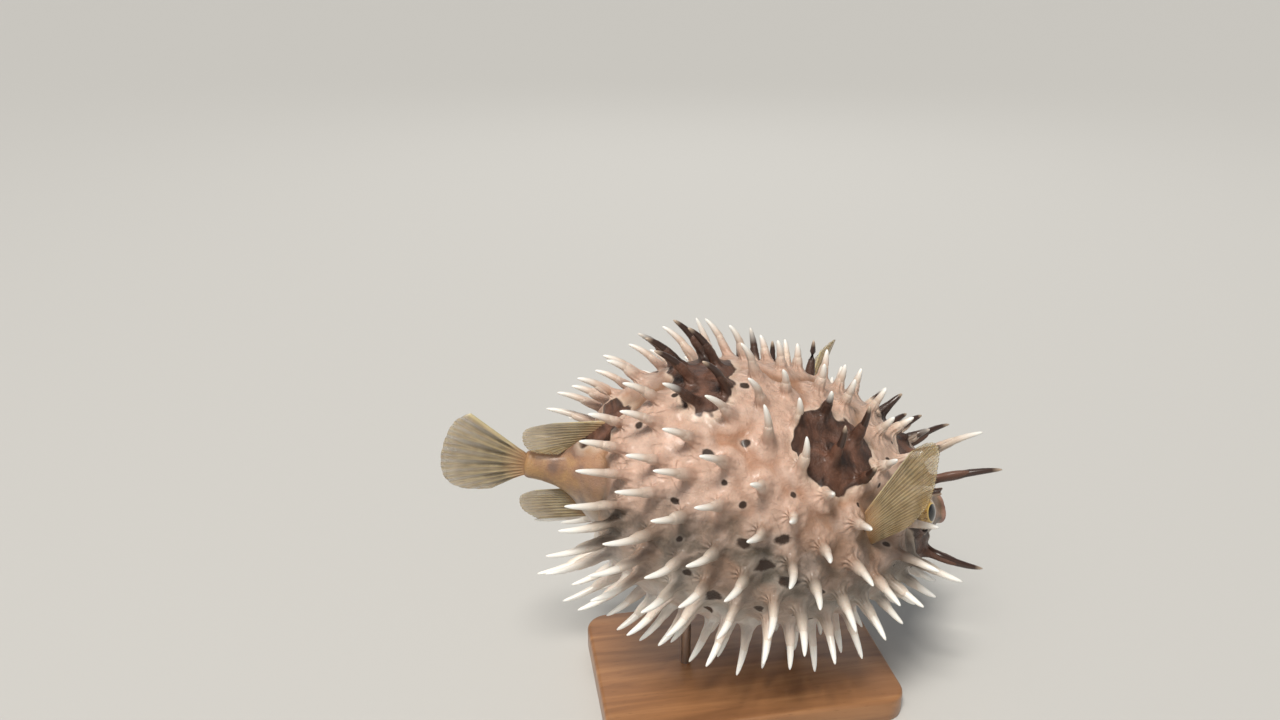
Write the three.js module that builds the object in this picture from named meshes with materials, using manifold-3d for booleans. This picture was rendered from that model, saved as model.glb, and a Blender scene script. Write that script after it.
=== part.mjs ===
// A long-spine porcupinefish (balloonfish), puffed up, life size, on a display stand.
// Millimetres, +Z up. The origin is the middle of the stand's underside, on the floor.
// The fish has a frame of its own inside the model: +X to the mouth, +Y to its left side.

import * as THREE from "three";
import { mergeVertices } from "three/addons/utils/BufferGeometryUtils.js";
import Module from "manifold-3d";

const wasm = await Module();
wasm.setup();

// ---- driving dimensions ----

const fishHeight = 134; // the fish's own origin above the floor
const noseDown = 10; // degrees
const partGap = 0.3; // clear air between neighbouring parts

// Cross-sections of the bare body, mouth to tail root: [x, half width, top, bottom].
const bodySections = [
  [121, 12, 4.5, -8.5],
  [118, 15, 8, -12],
  [112, 20.5, 14.5, -18],
  [104, 30, 25, -28],
  [92, 41, 36, -41],
  [72, 54, 50, -54],
  [47, 65, 62, -64],
  [17, 71, 71, -70],
  [-14, 71, 74, -70],
  [-44, 62, 69, -62],
  [-68, 52, 57, -48],
  [-84, 39, 43, -32],
  [-95, 27, 31, -18],
  [-106, 15.5, 22, -7],
  [-118, 9, 17, -2.5],
  [-131, 5.5, 14, -1],
];
const bellySag = 0.08; // how much wider the belly is than the back

// Spines grow in rings round the body. Distances run along the flank from the lips.
const spineRings = 13;
const firstSpineRing = 31;
const ringSpacing = 18;
const spinesPerRing = 20;
const sheathFoot = 12; // length of the patch of skin that rises into one spine's sheath
const sheathShare = 1.24; // its width, as a share of a column of the grid
const spineJitter = 2.4; // how far a root strays from the regular pattern
const spineTurnJitter = 2.1; // and how far round the body, in degrees
const spineRadius = 2.5; // where the spine leaves its sheath
const sheathHeight = 0.35; // as a share of the spine
const ringsOnHead = 3; // the head is cut from the trunk behind this many rings

const trunkTailCut = -105; // x of the cut behind the dorsal and anal fins

const eyeX = 92;
const eyeAngle = 66; // degrees round from the top of the head
const eyeRadius = 13;
const eyeSunk = 6.5; // eye centre below the skin

const mouthCentre = [116, 0, -2];
const mouthRadii = [9, 10.5, 5];
const toothLineGap = 1.6; // the beak stands a little open

const baseLength = 180;
const baseWidth = 112;
const baseThickness = 15;
const baseCorner = 14;
const baseBevel = 2;
const rodRadius = 3;
const rodPlaces = [-34, 34]; // x of the two rods
const rodInBelly = 7; // how far a rod goes into the belly

// ---- materials ----

const finish = (color, roughness, metalness = 0) =>
  new THREE.MeshStandardMaterial({ color, roughness, metalness });
const skin = finish(0xb8937c, 0.55);
const finSkin = finish(0x9b8a5e, 0.45);
const beakEnamel = finish(0xe9e2cf, 0.3);
const eyeGloss = finish(0x2a2418, 0.08);
const baseLacquer = finish(0x2b2320, 0.35);
const rodSteel = finish(0xb9bcc0, 0.25, 1);

// ---- small maths ----

const degrees = Math.PI / 180;
const vec = (x, y, z) => new THREE.Vector3(x, y, z);
const clamp = THREE.MathUtils.clamp;
const smooth = (from, to, x) => {
  const f = clamp((x - from) / (to - from), 0, 1);
  return f * f * (3 - 2 * f);
};

// A repeatable number from 0 to 1 for spine j of ring i.
const scatter = (i, j, k) => {
  const v = Math.sin(i * 12.9898 + j * 78.233 + k * 37.719) * 43758.5453;
  return v - Math.floor(v);
};

// The Catmull-Rom curve through a list of number rows; t runs from 0 to rows - 1.
const along = (rows, t) => {
  const last = rows.length - 1;
  const u = clamp(t, 0, last);
  const i = Math.min(Math.floor(u), last - 1);
  const f = u - i;
  const a = rows[Math.max(i - 1, 0)];
  const b = rows[i];
  const c = rows[i + 1];
  const d = rows[Math.min(i + 2, last)];
  return b.map((_, k) => {
    const slope = c[k] - a[k];
    const bend = 2 * a[k] - 5 * b[k] + 4 * c[k] - d[k];
    const twist = 3 * b[k] - a[k] - 3 * c[k] + d[k];
    return 0.5 * (2 * b[k] + f * (slope + f * (bend + f * twist)));
  });
};

// ---- frames ----

const fishFrame = new THREE.Group();
fishFrame.position.set(0, 0, fishHeight);
fishFrame.rotation.y = noseDown * degrees;
fishFrame.updateMatrixWorld(true);
const toFloorFrame = (p) => p.clone().applyMatrix4(fishFrame.matrixWorld);
const fromFloorFrame = fishFrame.matrixWorld.clone().invert();

// ---- the body's surface ----

// A point of the skin: t along the sections, angle round from the top to the left side.
const skinPoint = (t, angle, swell = 0) => {
  const [x, halfWidth, top, bottom] = along(bodySections, t);
  const middle = (top + bottom) / 2;
  const halfHeight = (top - bottom) / 2 + swell;
  const across = (halfWidth + swell) * Math.sin(angle) * (1 - bellySag * Math.cos(angle));
  return vec(x, across, middle + halfHeight * Math.cos(angle));
};

const skinNormal = (t, angle) => {
  const e = 1e-3;
  const lengthwise = skinPoint(t + e, angle).sub(skinPoint(t - e, angle));
  const round = skinPoint(t, angle + e).sub(skinPoint(t, angle - e));
  return round.cross(lengthwise).normalize();
};

// The section number t at a distance along the flank from the lips.
const flankSteps = 1500;
const flank = (() => {
  const last = bodySections.length - 1;
  const table = [{ t: 0, s: 0 }];
  for (let k = 1; k <= flankSteps; k++) {
    const t = (k / flankSteps) * last;
    const from = skinPoint(table[k - 1].t, Math.PI / 2);
    table.push({ t, s: table[k - 1].s + from.distanceTo(skinPoint(t, Math.PI / 2)) });
  }
  return table;
})();
const tAtDistance = (s) => (flank.find((row) => row.s >= s) ?? flank[flankSteps]).t;
const tAtX = (x) => flank.find((row) => skinPoint(row.t, 0).x <= x).t;

// ---- solids ----

// A closed geometry as a solid that can be joined and cut.
const solid = (geometry) => {
  const bare = geometry.clone();
  bare.deleteAttribute("normal");
  bare.deleteAttribute("uv");
  const merged = mergeVertices(bare, 1e-4);
  const index = merged.index.array;
  const faces = [];
  for (let i = 0; i < index.length; i += 3) {
    const [a, b, c] = [index[i], index[i + 1], index[i + 2]];
    if (a !== b && b !== c && a !== c) faces.push(a, b, c);
  }
  const vertProperties = new Float32Array(merged.attributes.position.array);
  const triVerts = new Uint32Array(faces);
  return new wasm.Manifold(new wasm.Mesh({ numProp: 3, vertProperties, triVerts }));
};

// The faces between rows of points that each go once round, and over the two end rows.
// A round end is closed by a fan of triangles, a flat one by a strip across the row.
const loft = (rows, flatEnds = false) => {
  const columns = rows[0].length;
  const points = rows.flat();
  const faces = [];
  for (let r = 0; r + 1 < rows.length; r++) {
    for (let c = 0; c < columns; c++) {
      const [a, b] = [r * columns + c, r * columns + ((c + 1) % columns)];
      faces.push(a, b, b + columns, a, b + columns, a + columns);
    }
  }
  const fan = (start, turned) => {
    const ring = points.slice(start, start + columns);
    points.push(ring.reduce((sum, p) => sum.add(p), vec(0, 0, 0)).divideScalar(columns));
    for (let c = 0; c < columns; c++) {
      const edge = [start + c, start + ((c + 1) % columns)];
      faces.push(points.length - 1, ...(turned ? edge.reverse() : edge));
    }
  };
  const strip = (start, turned) => {
    for (let c = 0; c + 1 < columns / 2; c++) {
      const [near, far] = [start + c, start + columns - 1 - c];
      const quad = [near, far, far - 1, near, far - 1, near + 1];
      faces.push(...(turned ? quad : quad.reverse()));
    }
  };
  const close = flatEnds ? strip : fan;
  close(0, true);
  close((rows.length - 1) * columns, false);
  const geometry = new THREE.BufferGeometry().setFromPoints(points);
  geometry.setIndex(faces);
  return geometry;
};

// The same faces turned to look the other way.
const insideOut = (geometry) => {
  const faces = Array.from(geometry.index.array);
  geometry.setIndex(faces.reverse());
  return geometry;
};

const ball = (centre, radii, columns = 16, rows = 10) => {
  const geometry = new THREE.SphereGeometry(1, columns, rows);
  geometry.scale(...radii).translate(...centre);
  return solid(geometry);
};

// ---- fins ----

const finBlade = ({ base, tip, rays, steps, rootThickness, edgeThickness, camber = 0 }) => {
  const columns = 2 * rays + 1;
  const middle = (u, v) => {
    const from = vec(...along(base, v * (base.length - 1)));
    return from.lerp(vec(...along(tip, v * (tip.length - 1))), u);
  };
  const facing = (u, v) => {
    const e = 0.01;
    const outward = middle(u + e, v).sub(middle(u - e, v));
    const across = middle(u, Math.min(v + e, 1)).sub(middle(u, Math.max(v - e, 0)));
    return outward.cross(across).normalize();
  };
  // One loop round the blade for each step outward: down one face, back up the other.
  const loop = (u) => {
    const faces = [[], []];
    for (let c = 0; c < columns; c++) {
      const v = c / (columns - 1);
      const ridge = c % 2 ? 0.25 : 0;
      const half = THREE.MathUtils.lerp(rootThickness, edgeThickness, u) / 2 + ridge;
      const n = facing(u, v);
      const bow = camber * Math.sin(Math.PI * v) * u;
      faces[0].push(middle(u, v).addScaledVector(n, bow + half));
      faces[1].unshift(middle(u, v).addScaledVector(n, bow - half));
    }
    return [...faces[0], ...faces[1]];
  };
  const rows = [];
  for (let r = 0; r <= steps; r++) rows.push(loop(r / steps));
  const geometry = loft(rows, true);
  const blade = solid(geometry);
  return blade.volume() > 0 ? blade : solid(insideOut(geometry));
};

// Foot line and free edge of each fin, as points [x, y, z] of the fish.
const tailRoot = -131 - partGap;
const caudalFin = {
  base: [[tailRoot, 0, 13.5], [tailRoot, 0, 6.5], [tailRoot, 0, -0.5]],
  tip: [
    [-163, 0, 34.5],
    [-171, 0, 28.5],
    [-175, 0, 17.5],
    [-176, 0, 5],
    [-172.5, 0, -5.5],
    [-163, 0, -11],
    [-147, 0, -10.5],
  ],
  rays: 9,
  steps: 4,
  rootThickness: 5,
  edgeThickness: 0.9,
};
// The back fin beats from side to side and is caught bent over to the right.
const dorsalFin = {
  base: [[-87, 0, 37], [-95, 0, 28.5], [-104, 0, 20.5]],
  tip: [[-118, -2, 33.5], [-132.5, -4, 29.5], [-134, -6, 23], [-128, -8, 18], [-114, -8.5, 18]],
  rays: 7,
  steps: 4,
  rootThickness: 3.4,
  edgeThickness: 0.9,
};
const analFin = {
  base: [[-103, 0, -7], [-96, 0, -13.5], [-88, 0, -23.5]],
  tip: [[-122, 0, -9.5], [-130, 0, -14], [-128, 0, -22], [-118, 0, -28]],
  rays: 7,
  steps: 4,
  rootThickness: 3.4,
  edgeThickness: 0.9,
};
// The right breast fin stands out, swept up and forward; side is -1 for right, 1 for left.
const pectoralFin = (side) => ({
  base: [[45, 57.7 * side, 22], [49, 59.3 * side, 12.5], [55, 58.4 * side, 4]],
  tip: [
    [54.5, 69 * side, 65.3],
    [62.5, 74 * side, 73],
    [60, 82 * side, 63.5],
    [57.4, 88 * side, 53.6],
    [55.3, 90 * side, 42.7],
    [53.9, 85 * side, 29.1],
  ],
  rays: 9,
  steps: 3,
  rootThickness: 3.6,
  edgeThickness: 0.9,
  camber: -4 * side,
});

// ---- spines ----

const eyeT = tAtX(eyeX);
const eyeCentre = (side) => {
  const angle = side * eyeAngle * degrees;
  return skinPoint(eyeT, angle).addScaledVector(skinNormal(eyeT, angle), -eyeSunk);
};

// Foot, direction and length of the spine that grows at a place on the skin.
const spineAt = (t, angle) => {
  const root = skinPoint(t, angle);
  const belly = smooth(20, -60, root.z);
  const back = smooth(0, 40, root.z);
  const rump = smooth(-35, -80, root.x);
  const nape = smooth(-30, 10, root.x) * back;
  const throat = smooth(-12, -34, root.z);
  const chin = smooth(60, 84, root.x) * throat;
  const face = smooth(88, 99, root.x) * (1 - throat);
  let lean = 0.75 - 0.55 * smooth(-60, 40, root.x) - 0.6 * smooth(45, 88, root.x) + 0.3 * rump;
  if (lean > 0) lean *= 1 - 0.5 * belly;
  lean -= 0.5 * face * (1 - back);
  // Over the breast fins the spines stand more upright than the skin they grow from.
  const upright =
    smooth(-30, -10, root.x) * smooth(50, 35, root.x) *
    smooth(34, 44, root.z) * smooth(66, 54, root.z);
  const direction = skinNormal(t, angle).add(vec(-lean, 0, 0.9 * upright)).normalize();
  const length =
    30 - 11 * nape - 10 * chin + (6 + 21 * back) * face + rump * (9 - 13 * back) + 8 * upright;
  return { root, direction, length };
};

const finMiddle = (fin, u, v) => {
  const from = vec(...along(fin.base, v * (fin.base.length - 1)));
  return from.lerp(vec(...along(fin.tip, v * (fin.tip.length - 1))), u);
};

// Bare places: round eyes, mouth, fin roots and rods, and wherever a fin's blade is in the way.
const isBare = ({ root, direction, length }) => {
  const side = root.y < 0 ? -1 : 1;
  if (root.distanceTo(eyeCentre(side)) < eyeRadius + 8) return true;
  if (root.x < -92 || (root.x < -66 && Math.abs(root.y) < 12)) return true;
  const onFloor = toFloorFrame(root);
  const atRod = (x) => Math.hypot(onFloor.x - x, onFloor.y) < 9;
  if (root.z < 0 && rodPlaces.some(atRod)) return true;
  const fin = pectoralFin(side);
  if (root.distanceTo(finMiddle(fin, 0, 0.5)) < 15) return true;
  for (let u = 0; u <= 1; u += 0.1) {
    for (let v = 0; v <= 1; v += 0.1) {
      const blade = finMiddle(fin, u, v);
      if (root.distanceTo(blade) < 9) return true;
      for (let reach = 0.2; reach <= 1; reach += 0.1) {
        const point = root.clone().addScaledVector(direction, reach * length);
        if (point.distanceTo(blade) < 5.5) return true;
      }
    }
  }
  return false;
};

// ---- skin with its spines ----

// The skin is a grid of rows and columns. Every second patch of it, like the black squares of a
// chessboard, can rise into a spine: ring and j say which, and its four corners stray together.
const bodyColumns = 2 * spinesPerRing;
const patchAngle = (2 * Math.PI) / bodyColumns;
const patchOf = (ring, column) => {
  const shifted = ring % 2 ? column : column + 1;
  return Math.floor(shifted / 2) % spinesPerRing;
};
const patchCentre = (ring, j) => {
  const distance = firstSpineRing + ringSpacing * ring;
  const strayAlong = (scatter(ring, j, 1) - 0.5) * 2 * spineJitter;
  const strayRound = (scatter(ring, j, 2) - 0.5) * 2 * spineTurnJitter * degrees;
  return { distance: distance + strayAlong, angle: (2 * j + (ring % 2)) * patchAngle + strayRound };
};

const spineOf = (ring, j) => {
  if (ring === 0 && j % 2) return null;
  const { distance, angle } = patchCentre(ring, j);
  const spine = spineAt(tAtDistance(distance), angle);
  spine.length *= 0.92 + 0.16 * scatter(ring, j, 3);
  return isBare(spine) ? null : spine;
};

// One row of skin points: a plain one, or the front or rear edge of a ring of patches.
const plainRow = (distance) => ({ distance, ring: -1, edge: 0 });
const ringRows = (ring) => {
  const distance = firstSpineRing + ringSpacing * ring;
  return [-1, 1].map((edge) => ({ distance, ring, edge }));
};
const rowPoints = ({ distance, ring, edge }, swell = 0) => {
  const points = [];
  for (let c = 0; c < bodyColumns; c++) {
    const angle = (c + 0.5) * patchAngle;
    if (ring < 0) {
      points.push(skinPoint(tAtDistance(distance), angle, swell));
      continue;
    }
    const j = patchOf(ring, c);
    const centre = patchCentre(ring, j);
    const side = (ring % 2 ? c : c + 1) % 2 ? 1 : -1;
    const t = tAtDistance(centre.distance + (edge * sheathFoot) / 2);
    points.push(skinPoint(t, centre.angle + (side * sheathShare * patchAngle) / 2, swell));
  }
  return points;
};

// A stretch of skin with its spines, closed by a flat end at each end.
const skinSolid = (rows) => {
  const geometry = loft(rows.map((row) => rowPoints(row)));
  const position = geometry.attributes.position;
  const points = [];
  for (let i = 0; i < position.count; i++) points.push(vec(0, 0, 0).fromBufferAttribute(position, i));
  let faces = Array.from(geometry.index.array);
  rows.forEach(({ ring, edge }, row) => {
    if (ring < 0 || edge > 0) return;
    for (let j = 0; j < spinesPerRing; j++) {
      const spine = spineOf(ring, j);
      if (!spine) continue;
      const column = (2 * j - (ring % 2 ? 0 : 1) + bodyColumns) % bodyColumns;
      const next = (column + 1) % bodyColumns;
      const [near, far] = [row * bodyColumns, (row + 1) * bodyColumns];
      const corners = [near + column, near + next, far + next, far + column];
      // The patch's own two triangles start six numbers per patch into the list.
      const start = 6 * (near + column);
      for (let k = 0; k < 6; k++) faces[start + k] = -1;
      const neck = corners.map((corner) => {
        const out = points[corner].clone().sub(spine.root);
        out.addScaledVector(spine.direction, -out.dot(spine.direction)).setLength(spineRadius);
        out.add(spine.root).addScaledVector(spine.direction, sheathHeight * spine.length);
        return points.push(out) - 1;
      });
      const tip = points.push(spine.root.clone().addScaledVector(spine.direction, spine.length)) - 1;
      corners.forEach((corner, k) => {
        const m = (k + 1) % 4;
        faces.push(corner, corners[m], neck[m], corner, neck[m], neck[k], neck[k], neck[m], tip);
      });
    }
  });
  faces = faces.filter((v) => v >= 0);
  const made = new THREE.BufferGeometry().setFromPoints(points);
  made.setIndex(faces);
  return solid(made);
};

// ---- fish parts ----

const beakPlates = ball(mouthCentre, mouthRadii.map((r) => r - partGap));
const beakPlate = (side) => {
  const jaw = new THREE.BoxGeometry(60, 60, 20);
  jaw.translate(mouthCentre[0], 0, mouthCentre[2] + side * (10 + toothLineGap / 2));
  return beakPlates.intersect(solid(jaw));
};
const eyeball = (side, radius) => ball(eyeCentre(side).toArray(), [radius, radius, radius]);

const skinEndAt = (floorX) => {
  // Height above the floor of the belly's midline at a distance along the stand.
  let lowest = 0;
  for (let t = 0; t <= bodySections.length - 1; t += 0.02) {
    const p = toFloorFrame(skinPoint(t, Math.PI));
    if (p.x >= floorX) lowest = p.z;
  }
  return lowest;
};
const rodFoot = baseThickness / 2;
const rodGeometry = (floorX, swell = 0) => {
  const height = skinEndAt(floorX) + rodInBelly - rodFoot + 2 * swell;
  const geometry = new THREE.CylinderGeometry(rodRadius + swell, rodRadius + swell, height, 14);
  geometry.rotateX(Math.PI / 2);
  return geometry.translate(floorX, 0, rodFoot - swell + height / 2);
};

// The rows of skin from the mouth to the tail root, shared out among three parts.
const rings = (from, to) => {
  const rows = [];
  for (let ring = from; ring < to; ring++) rows.push(...ringRows(ring));
  return rows;
};
const headCut = firstSpineRing + ringSpacing * (ringsOnHead - 0.5);
const tailCut = flank.find((row) => row.t >= tAtX(trunkTailCut)).s;
const tailEnd = flank[flankSteps].s;
const tailSteps = 4;
const tailRows = [];
for (let k = 0; k <= tailSteps; k++) {
  tailRows.push(plainRow(THREE.MathUtils.lerp(tailCut + partGap / 2, tailEnd, k / tailSteps)));
}
const headRows = [
  ...[0, 2, 5, 9, 14, 20].map(plainRow),
  ...rings(0, ringsOnHead),
  plainRow(headCut - partGap / 2),
];
const trunkRows = [
  plainRow(headCut + partGap / 2),
  ...rings(ringsOnHead, spineRings),
  plainRow(260),
  plainRow(tailCut - partGap / 2),
];

const head = () => {
  const sockets = [1, -1].map((side) => eyeball(side, eyeRadius + partGap));
  return skinSolid(headRows).subtract(
    wasm.Manifold.union([ball(mouthCentre, mouthRadii), ...sockets]),
  );
};

const trunk = () => {
  const bores = rodPlaces.map((x) => solid(rodGeometry(x, partGap).applyMatrix4(fromFloorFrame)));
  return skinSolid(trunkRows).subtract(wasm.Manifold.union(bores));
};

// Fins are cut clear of the bare body, swollen by the gap.
const bareBody = [...headRows, ...trunkRows, ...tailRows];
const clearOfBody = solid(loft(bareBody.map((row) => rowPoints(row, partGap))));
const fin = (shape) => finBlade(shape).subtract(clearOfBody);

// ---- stand parts ----

const baseSolid = () => {
  const [halfLength, halfWidth] = [baseLength / 2 - baseBevel, baseWidth / 2 - baseBevel];
  const corner = baseCorner - baseBevel;
  const outline = new THREE.Shape();
  outline.absarc(halfLength - corner, halfWidth - corner, corner, 0, Math.PI / 2);
  outline.absarc(corner - halfLength, halfWidth - corner, corner, Math.PI / 2, Math.PI);
  outline.absarc(corner - halfLength, corner - halfWidth, corner, Math.PI, 1.5 * Math.PI);
  outline.absarc(halfLength - corner, corner - halfWidth, corner, 1.5 * Math.PI, 2 * Math.PI);
  outline.closePath();
  const geometry = new THREE.ExtrudeGeometry(outline, {
    depth: baseThickness - 2 * baseBevel,
    bevelThickness: baseBevel,
    bevelSize: baseBevel,
    bevelSegments: 1,
    curveSegments: 4,
  });
  const plate = solid(geometry.translate(0, 0, baseBevel));
  return plate.subtract(wasm.Manifold.union(rodPlaces.map((x) => solid(rodGeometry(x, partGap)))));
};

// ---- the model ----

const addPart = (group, name, part, material) => {
  const made = part.getMesh();
  const geometry = new THREE.BufferGeometry();
  geometry.setAttribute("position", new THREE.BufferAttribute(made.vertProperties, 3));
  geometry.setIndex(new THREE.BufferAttribute(made.triVerts, 1));
  geometry.computeVertexNormals();
  const mesh = new THREE.Mesh(geometry, material);
  mesh.name = name;
  group.add(mesh);
};

addPart(fishFrame, "head", head(), skin);
addPart(fishFrame, "trunk", trunk(), skin);
addPart(fishFrame, "tail", skinSolid(tailRows), skin);
addPart(fishFrame, "caudal_fin", fin(caudalFin), finSkin);
addPart(fishFrame, "dorsal_fin", fin(dorsalFin), finSkin);
addPart(fishFrame, "anal_fin", fin(analFin), finSkin);
addPart(fishFrame, "beak_upper", beakPlate(1), beakEnamel);
addPart(fishFrame, "beak_lower", beakPlate(-1), beakEnamel);
for (const [sideName, side] of [["left", 1], ["right", -1]]) {
  addPart(fishFrame, `pectoral_fin_${sideName}`, fin(pectoralFin(side)), finSkin);
  addPart(fishFrame, `eye_${sideName}`, eyeball(side, eyeRadius), eyeGloss);
}

const stand = new THREE.Group();
addPart(stand, "stand_base", baseSolid(), baseLacquer);
addPart(stand, "stand_rod_front", solid(rodGeometry(rodPlaces[1])), rodSteel);
addPart(stand, "stand_rod_rear", solid(rodGeometry(rodPlaces[0])), rodSteel);

const porcupinefish = new THREE.Group();
porcupinefish.add(fishFrame, stand);

export default porcupinefish;
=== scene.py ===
# %% [markdown]
# # A puffed-up porcupinefish on a display stand
#
# The fish is a long-spine porcupinefish that has filled its belly with water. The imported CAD
# model gives its size, pose and parts. Here each part gets its real surface: one stretched skin
# with a sheath round every spine, hard ivory spines, wet eyes, a beak, rayed fins and a stand.

import math

import bmesh
import bpy
import numpy as np
from mathutils import Matrix, Vector, kdtree
from mathutils.bvhtree import BVHTree


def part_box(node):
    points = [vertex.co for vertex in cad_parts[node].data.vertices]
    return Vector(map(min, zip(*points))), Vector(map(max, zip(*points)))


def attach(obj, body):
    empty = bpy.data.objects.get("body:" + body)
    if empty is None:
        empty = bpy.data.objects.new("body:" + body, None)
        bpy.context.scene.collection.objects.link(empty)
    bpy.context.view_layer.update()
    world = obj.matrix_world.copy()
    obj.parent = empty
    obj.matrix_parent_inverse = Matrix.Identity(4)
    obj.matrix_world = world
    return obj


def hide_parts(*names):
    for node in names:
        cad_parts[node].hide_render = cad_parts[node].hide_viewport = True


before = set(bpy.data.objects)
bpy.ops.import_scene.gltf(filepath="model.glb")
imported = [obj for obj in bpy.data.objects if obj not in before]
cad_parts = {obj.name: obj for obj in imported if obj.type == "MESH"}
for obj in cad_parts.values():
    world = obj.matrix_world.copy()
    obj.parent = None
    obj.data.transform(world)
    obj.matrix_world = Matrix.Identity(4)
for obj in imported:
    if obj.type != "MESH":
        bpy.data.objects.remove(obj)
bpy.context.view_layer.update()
bpy.ops.object.select_all(action="DESELECT")
print("frame nodes:", sorted(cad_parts))

# %% [markdown]
# ## The fish's own frame
#
# A fish is easiest to model level, with its mouth towards +X and its left side towards +Y, in
# millimetres. One matrix then sets it on the stand: ten degrees nose down, at its height. The
# same matrix, turned round, brings places of the frame back into the fish's own millimetres.

# %% Fish frame
MM = 0.001
FISH_HEIGHT = 134 * MM
NOSE_DOWN = math.radians(10)
fish_to_floor = Matrix.Translation((0, 0, FISH_HEIGHT)) @ Matrix.Rotation(NOSE_DOWN, 4, "Y")
millimetres_to_floor = fish_to_floor @ Matrix.Scale(MM, 4)
floor_to_millimetres = millimetres_to_floor.inverted()


def box_in_fish(node):
    """Middle and size of a CAD node, in the fish's millimetres."""
    low, high = (Vector(corner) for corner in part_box(node))
    return floor_to_millimetres @ ((low + high) / 2), (high - low) / MM


eye_centre = {side: box_in_fish(f"eye_{side}")[0] for side in ("left", "right")}
eye_radius = box_in_fish("eye_left")[1].y / 2
print("eyes at", eye_centre, "radius", round(eye_radius, 2))

# %% [markdown]
# ## Camera
#
# A camera is placed by where it stands, which way it points and its lens. This one stands to the
# right of the fish, a little behind it and above, and looks down at a quarter of a right angle. The
# fish is off the middle of the picture, so the camera doesn't point straight at it.

# %% Camera
CAMERA_FROM_FISH = Vector((-148.2, -489.5, 294.1)) * MM
CAMERA_AZIMUTH = math.radians(9.9)  # turned from +Y towards +X
CAMERA_DOWN = math.radians(22.7)
LENS = 28.1  # mm, on a sensor of this width
SENSOR = 36

fish_origin = Vector((0, 0, FISH_HEIGHT))
bpy.ops.object.camera_add(
    location=fish_origin + CAMERA_FROM_FISH,
    rotation=(math.pi / 2 - CAMERA_DOWN, 0, -CAMERA_AZIMUTH),
)
camera = bpy.context.object
camera.name = "camera"
camera.data.lens = LENS
camera.data.sensor_width = SENSOR
camera.data.clip_start = 0.01
bpy.context.scene.camera = camera
print("camera at", camera.location)

# %% [markdown]
# ## The body as a curve of cross-sections
#
# The body is round in section, so it can be told by a few sections from mouth to tail root: where
# each one is, how wide, how high its top and bottom. A smooth curve through them gives every
# section between. Two numbers name a place on the skin: t along the sections, and the angle round
# from the top towards the left side.

# %% Body sections
BODY_SECTIONS = np.array([
    # x, half width, top, bottom
    (121, 12, 4.5, -8.5),
    (118, 15, 8, -12),
    (112, 20.5, 14.5, -18),
    (104, 30, 25, -28),
    (92, 41, 36, -41),
    (72, 54, 50, -54),
    (47, 65, 62, -64),
    (17, 71, 71, -70),
    (-14, 71, 74, -70),
    (-44, 62, 69, -62),
    (-68, 52, 57, -48),
    (-84, 39, 43, -32),
    (-95, 27, 31, -18),
    (-106, 15.5, 22, -7),
    (-118, 9, 17, -2.5),
    (-131, 5.5, 14, -1),
], float)
BELLY_SAG = 0.08  # how much wider the belly is than the back


def along(rows, t):
    """The Catmull-Rom curve through rows of numbers; t runs from 0 to the last row."""
    last = len(rows) - 1
    t = min(max(t, 0), last)
    i = min(int(t), last - 1)
    f = t - i
    a, b, c, d = rows[max(i - 1, 0)], rows[i], rows[i + 1], rows[min(i + 2, last)]
    slope, bend, twist = c - a, 2 * a - 5 * b + 4 * c - d, 3 * b - a - 3 * c + d
    return 0.5 * (2 * b + f * (slope + f * (bend + f * twist)))


def section_point(section, angle):
    """A point of one cross-section, at an angle round it from the top."""
    x, half_width, top, bottom = section
    across = half_width * math.sin(angle) * (1 - BELLY_SAG * math.cos(angle))
    return Vector((x, across, (top + bottom) / 2 + (top - bottom) / 2 * math.cos(angle)))


def skin_point(t, angle):
    return section_point(along(BODY_SECTIONS, t), angle)


def skin_normal(t, angle):
    """The body's outward direction at a place on the skin."""
    e = 1e-3
    lengthwise = skin_point(t + e, angle) - skin_point(t - e, angle)
    around = skin_point(t, angle + e) - skin_point(t, angle - e)
    return around.cross(lengthwise).normalized()


FLANK_STEPS = 1500
flank_t = np.linspace(0, len(BODY_SECTIONS) - 1, FLANK_STEPS + 1)
flank_points = np.array([skin_point(t, math.pi / 2) for t in flank_t])
flank_s = np.concatenate([[0], np.cumsum(np.linalg.norm(np.diff(flank_points, axis=0), axis=1))])


def t_at_distance(s):
    """The place along the sections at a distance from the lips, over the flank."""
    return float(np.interp(s, flank_s, flank_t))


def t_at_x(x):
    return float(np.interp(-x, -flank_points[:, 0], flank_t))


def smooth(start, end, x):
    """An S-curve from 0 at the start to 1 at the end."""
    f = min(max((x - start) / (end - start), 0), 1)
    return f * f * (3 - 2 * f)


def scatter(i, j, k):
    """A repeatable number from 0 to 1."""
    v = math.sin(i * 12.9898 + j * 78.233 + k * 37.719) * 43758.5453
    return v - math.floor(v)


print("flank length from lips to tail root:", round(flank_s[-1]), "mm")

# %% [markdown]
# ## Where the spines grow
#
# Spines stand in rings round the body, each ring set half a step round from the last. On the
# real fish they point back on the rear half and fan forward on the head, the forehead has the
# longest ones, and places that must bend or see are bare: round the eyes, the mouth and the fin
# roots. The pattern is worked out, with a little scatter so that no row looks ruled.

# %% Spine pattern
SPINE_RINGS = 13
FIRST_RING = 31  # mm from the lips, over the flank
RING_SPACING = 18
SPINES_PER_RING = 20
SHEATH_FOOT = 12  # length of the patch of skin that a sheath rises from
SHEATH_SHARE = 1.24  # its width, as a share of a column of the grid
SPINE_JITTER = 2.4  # mm forward or back
SPINE_TURN_JITTER = math.radians(2.1)
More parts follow.
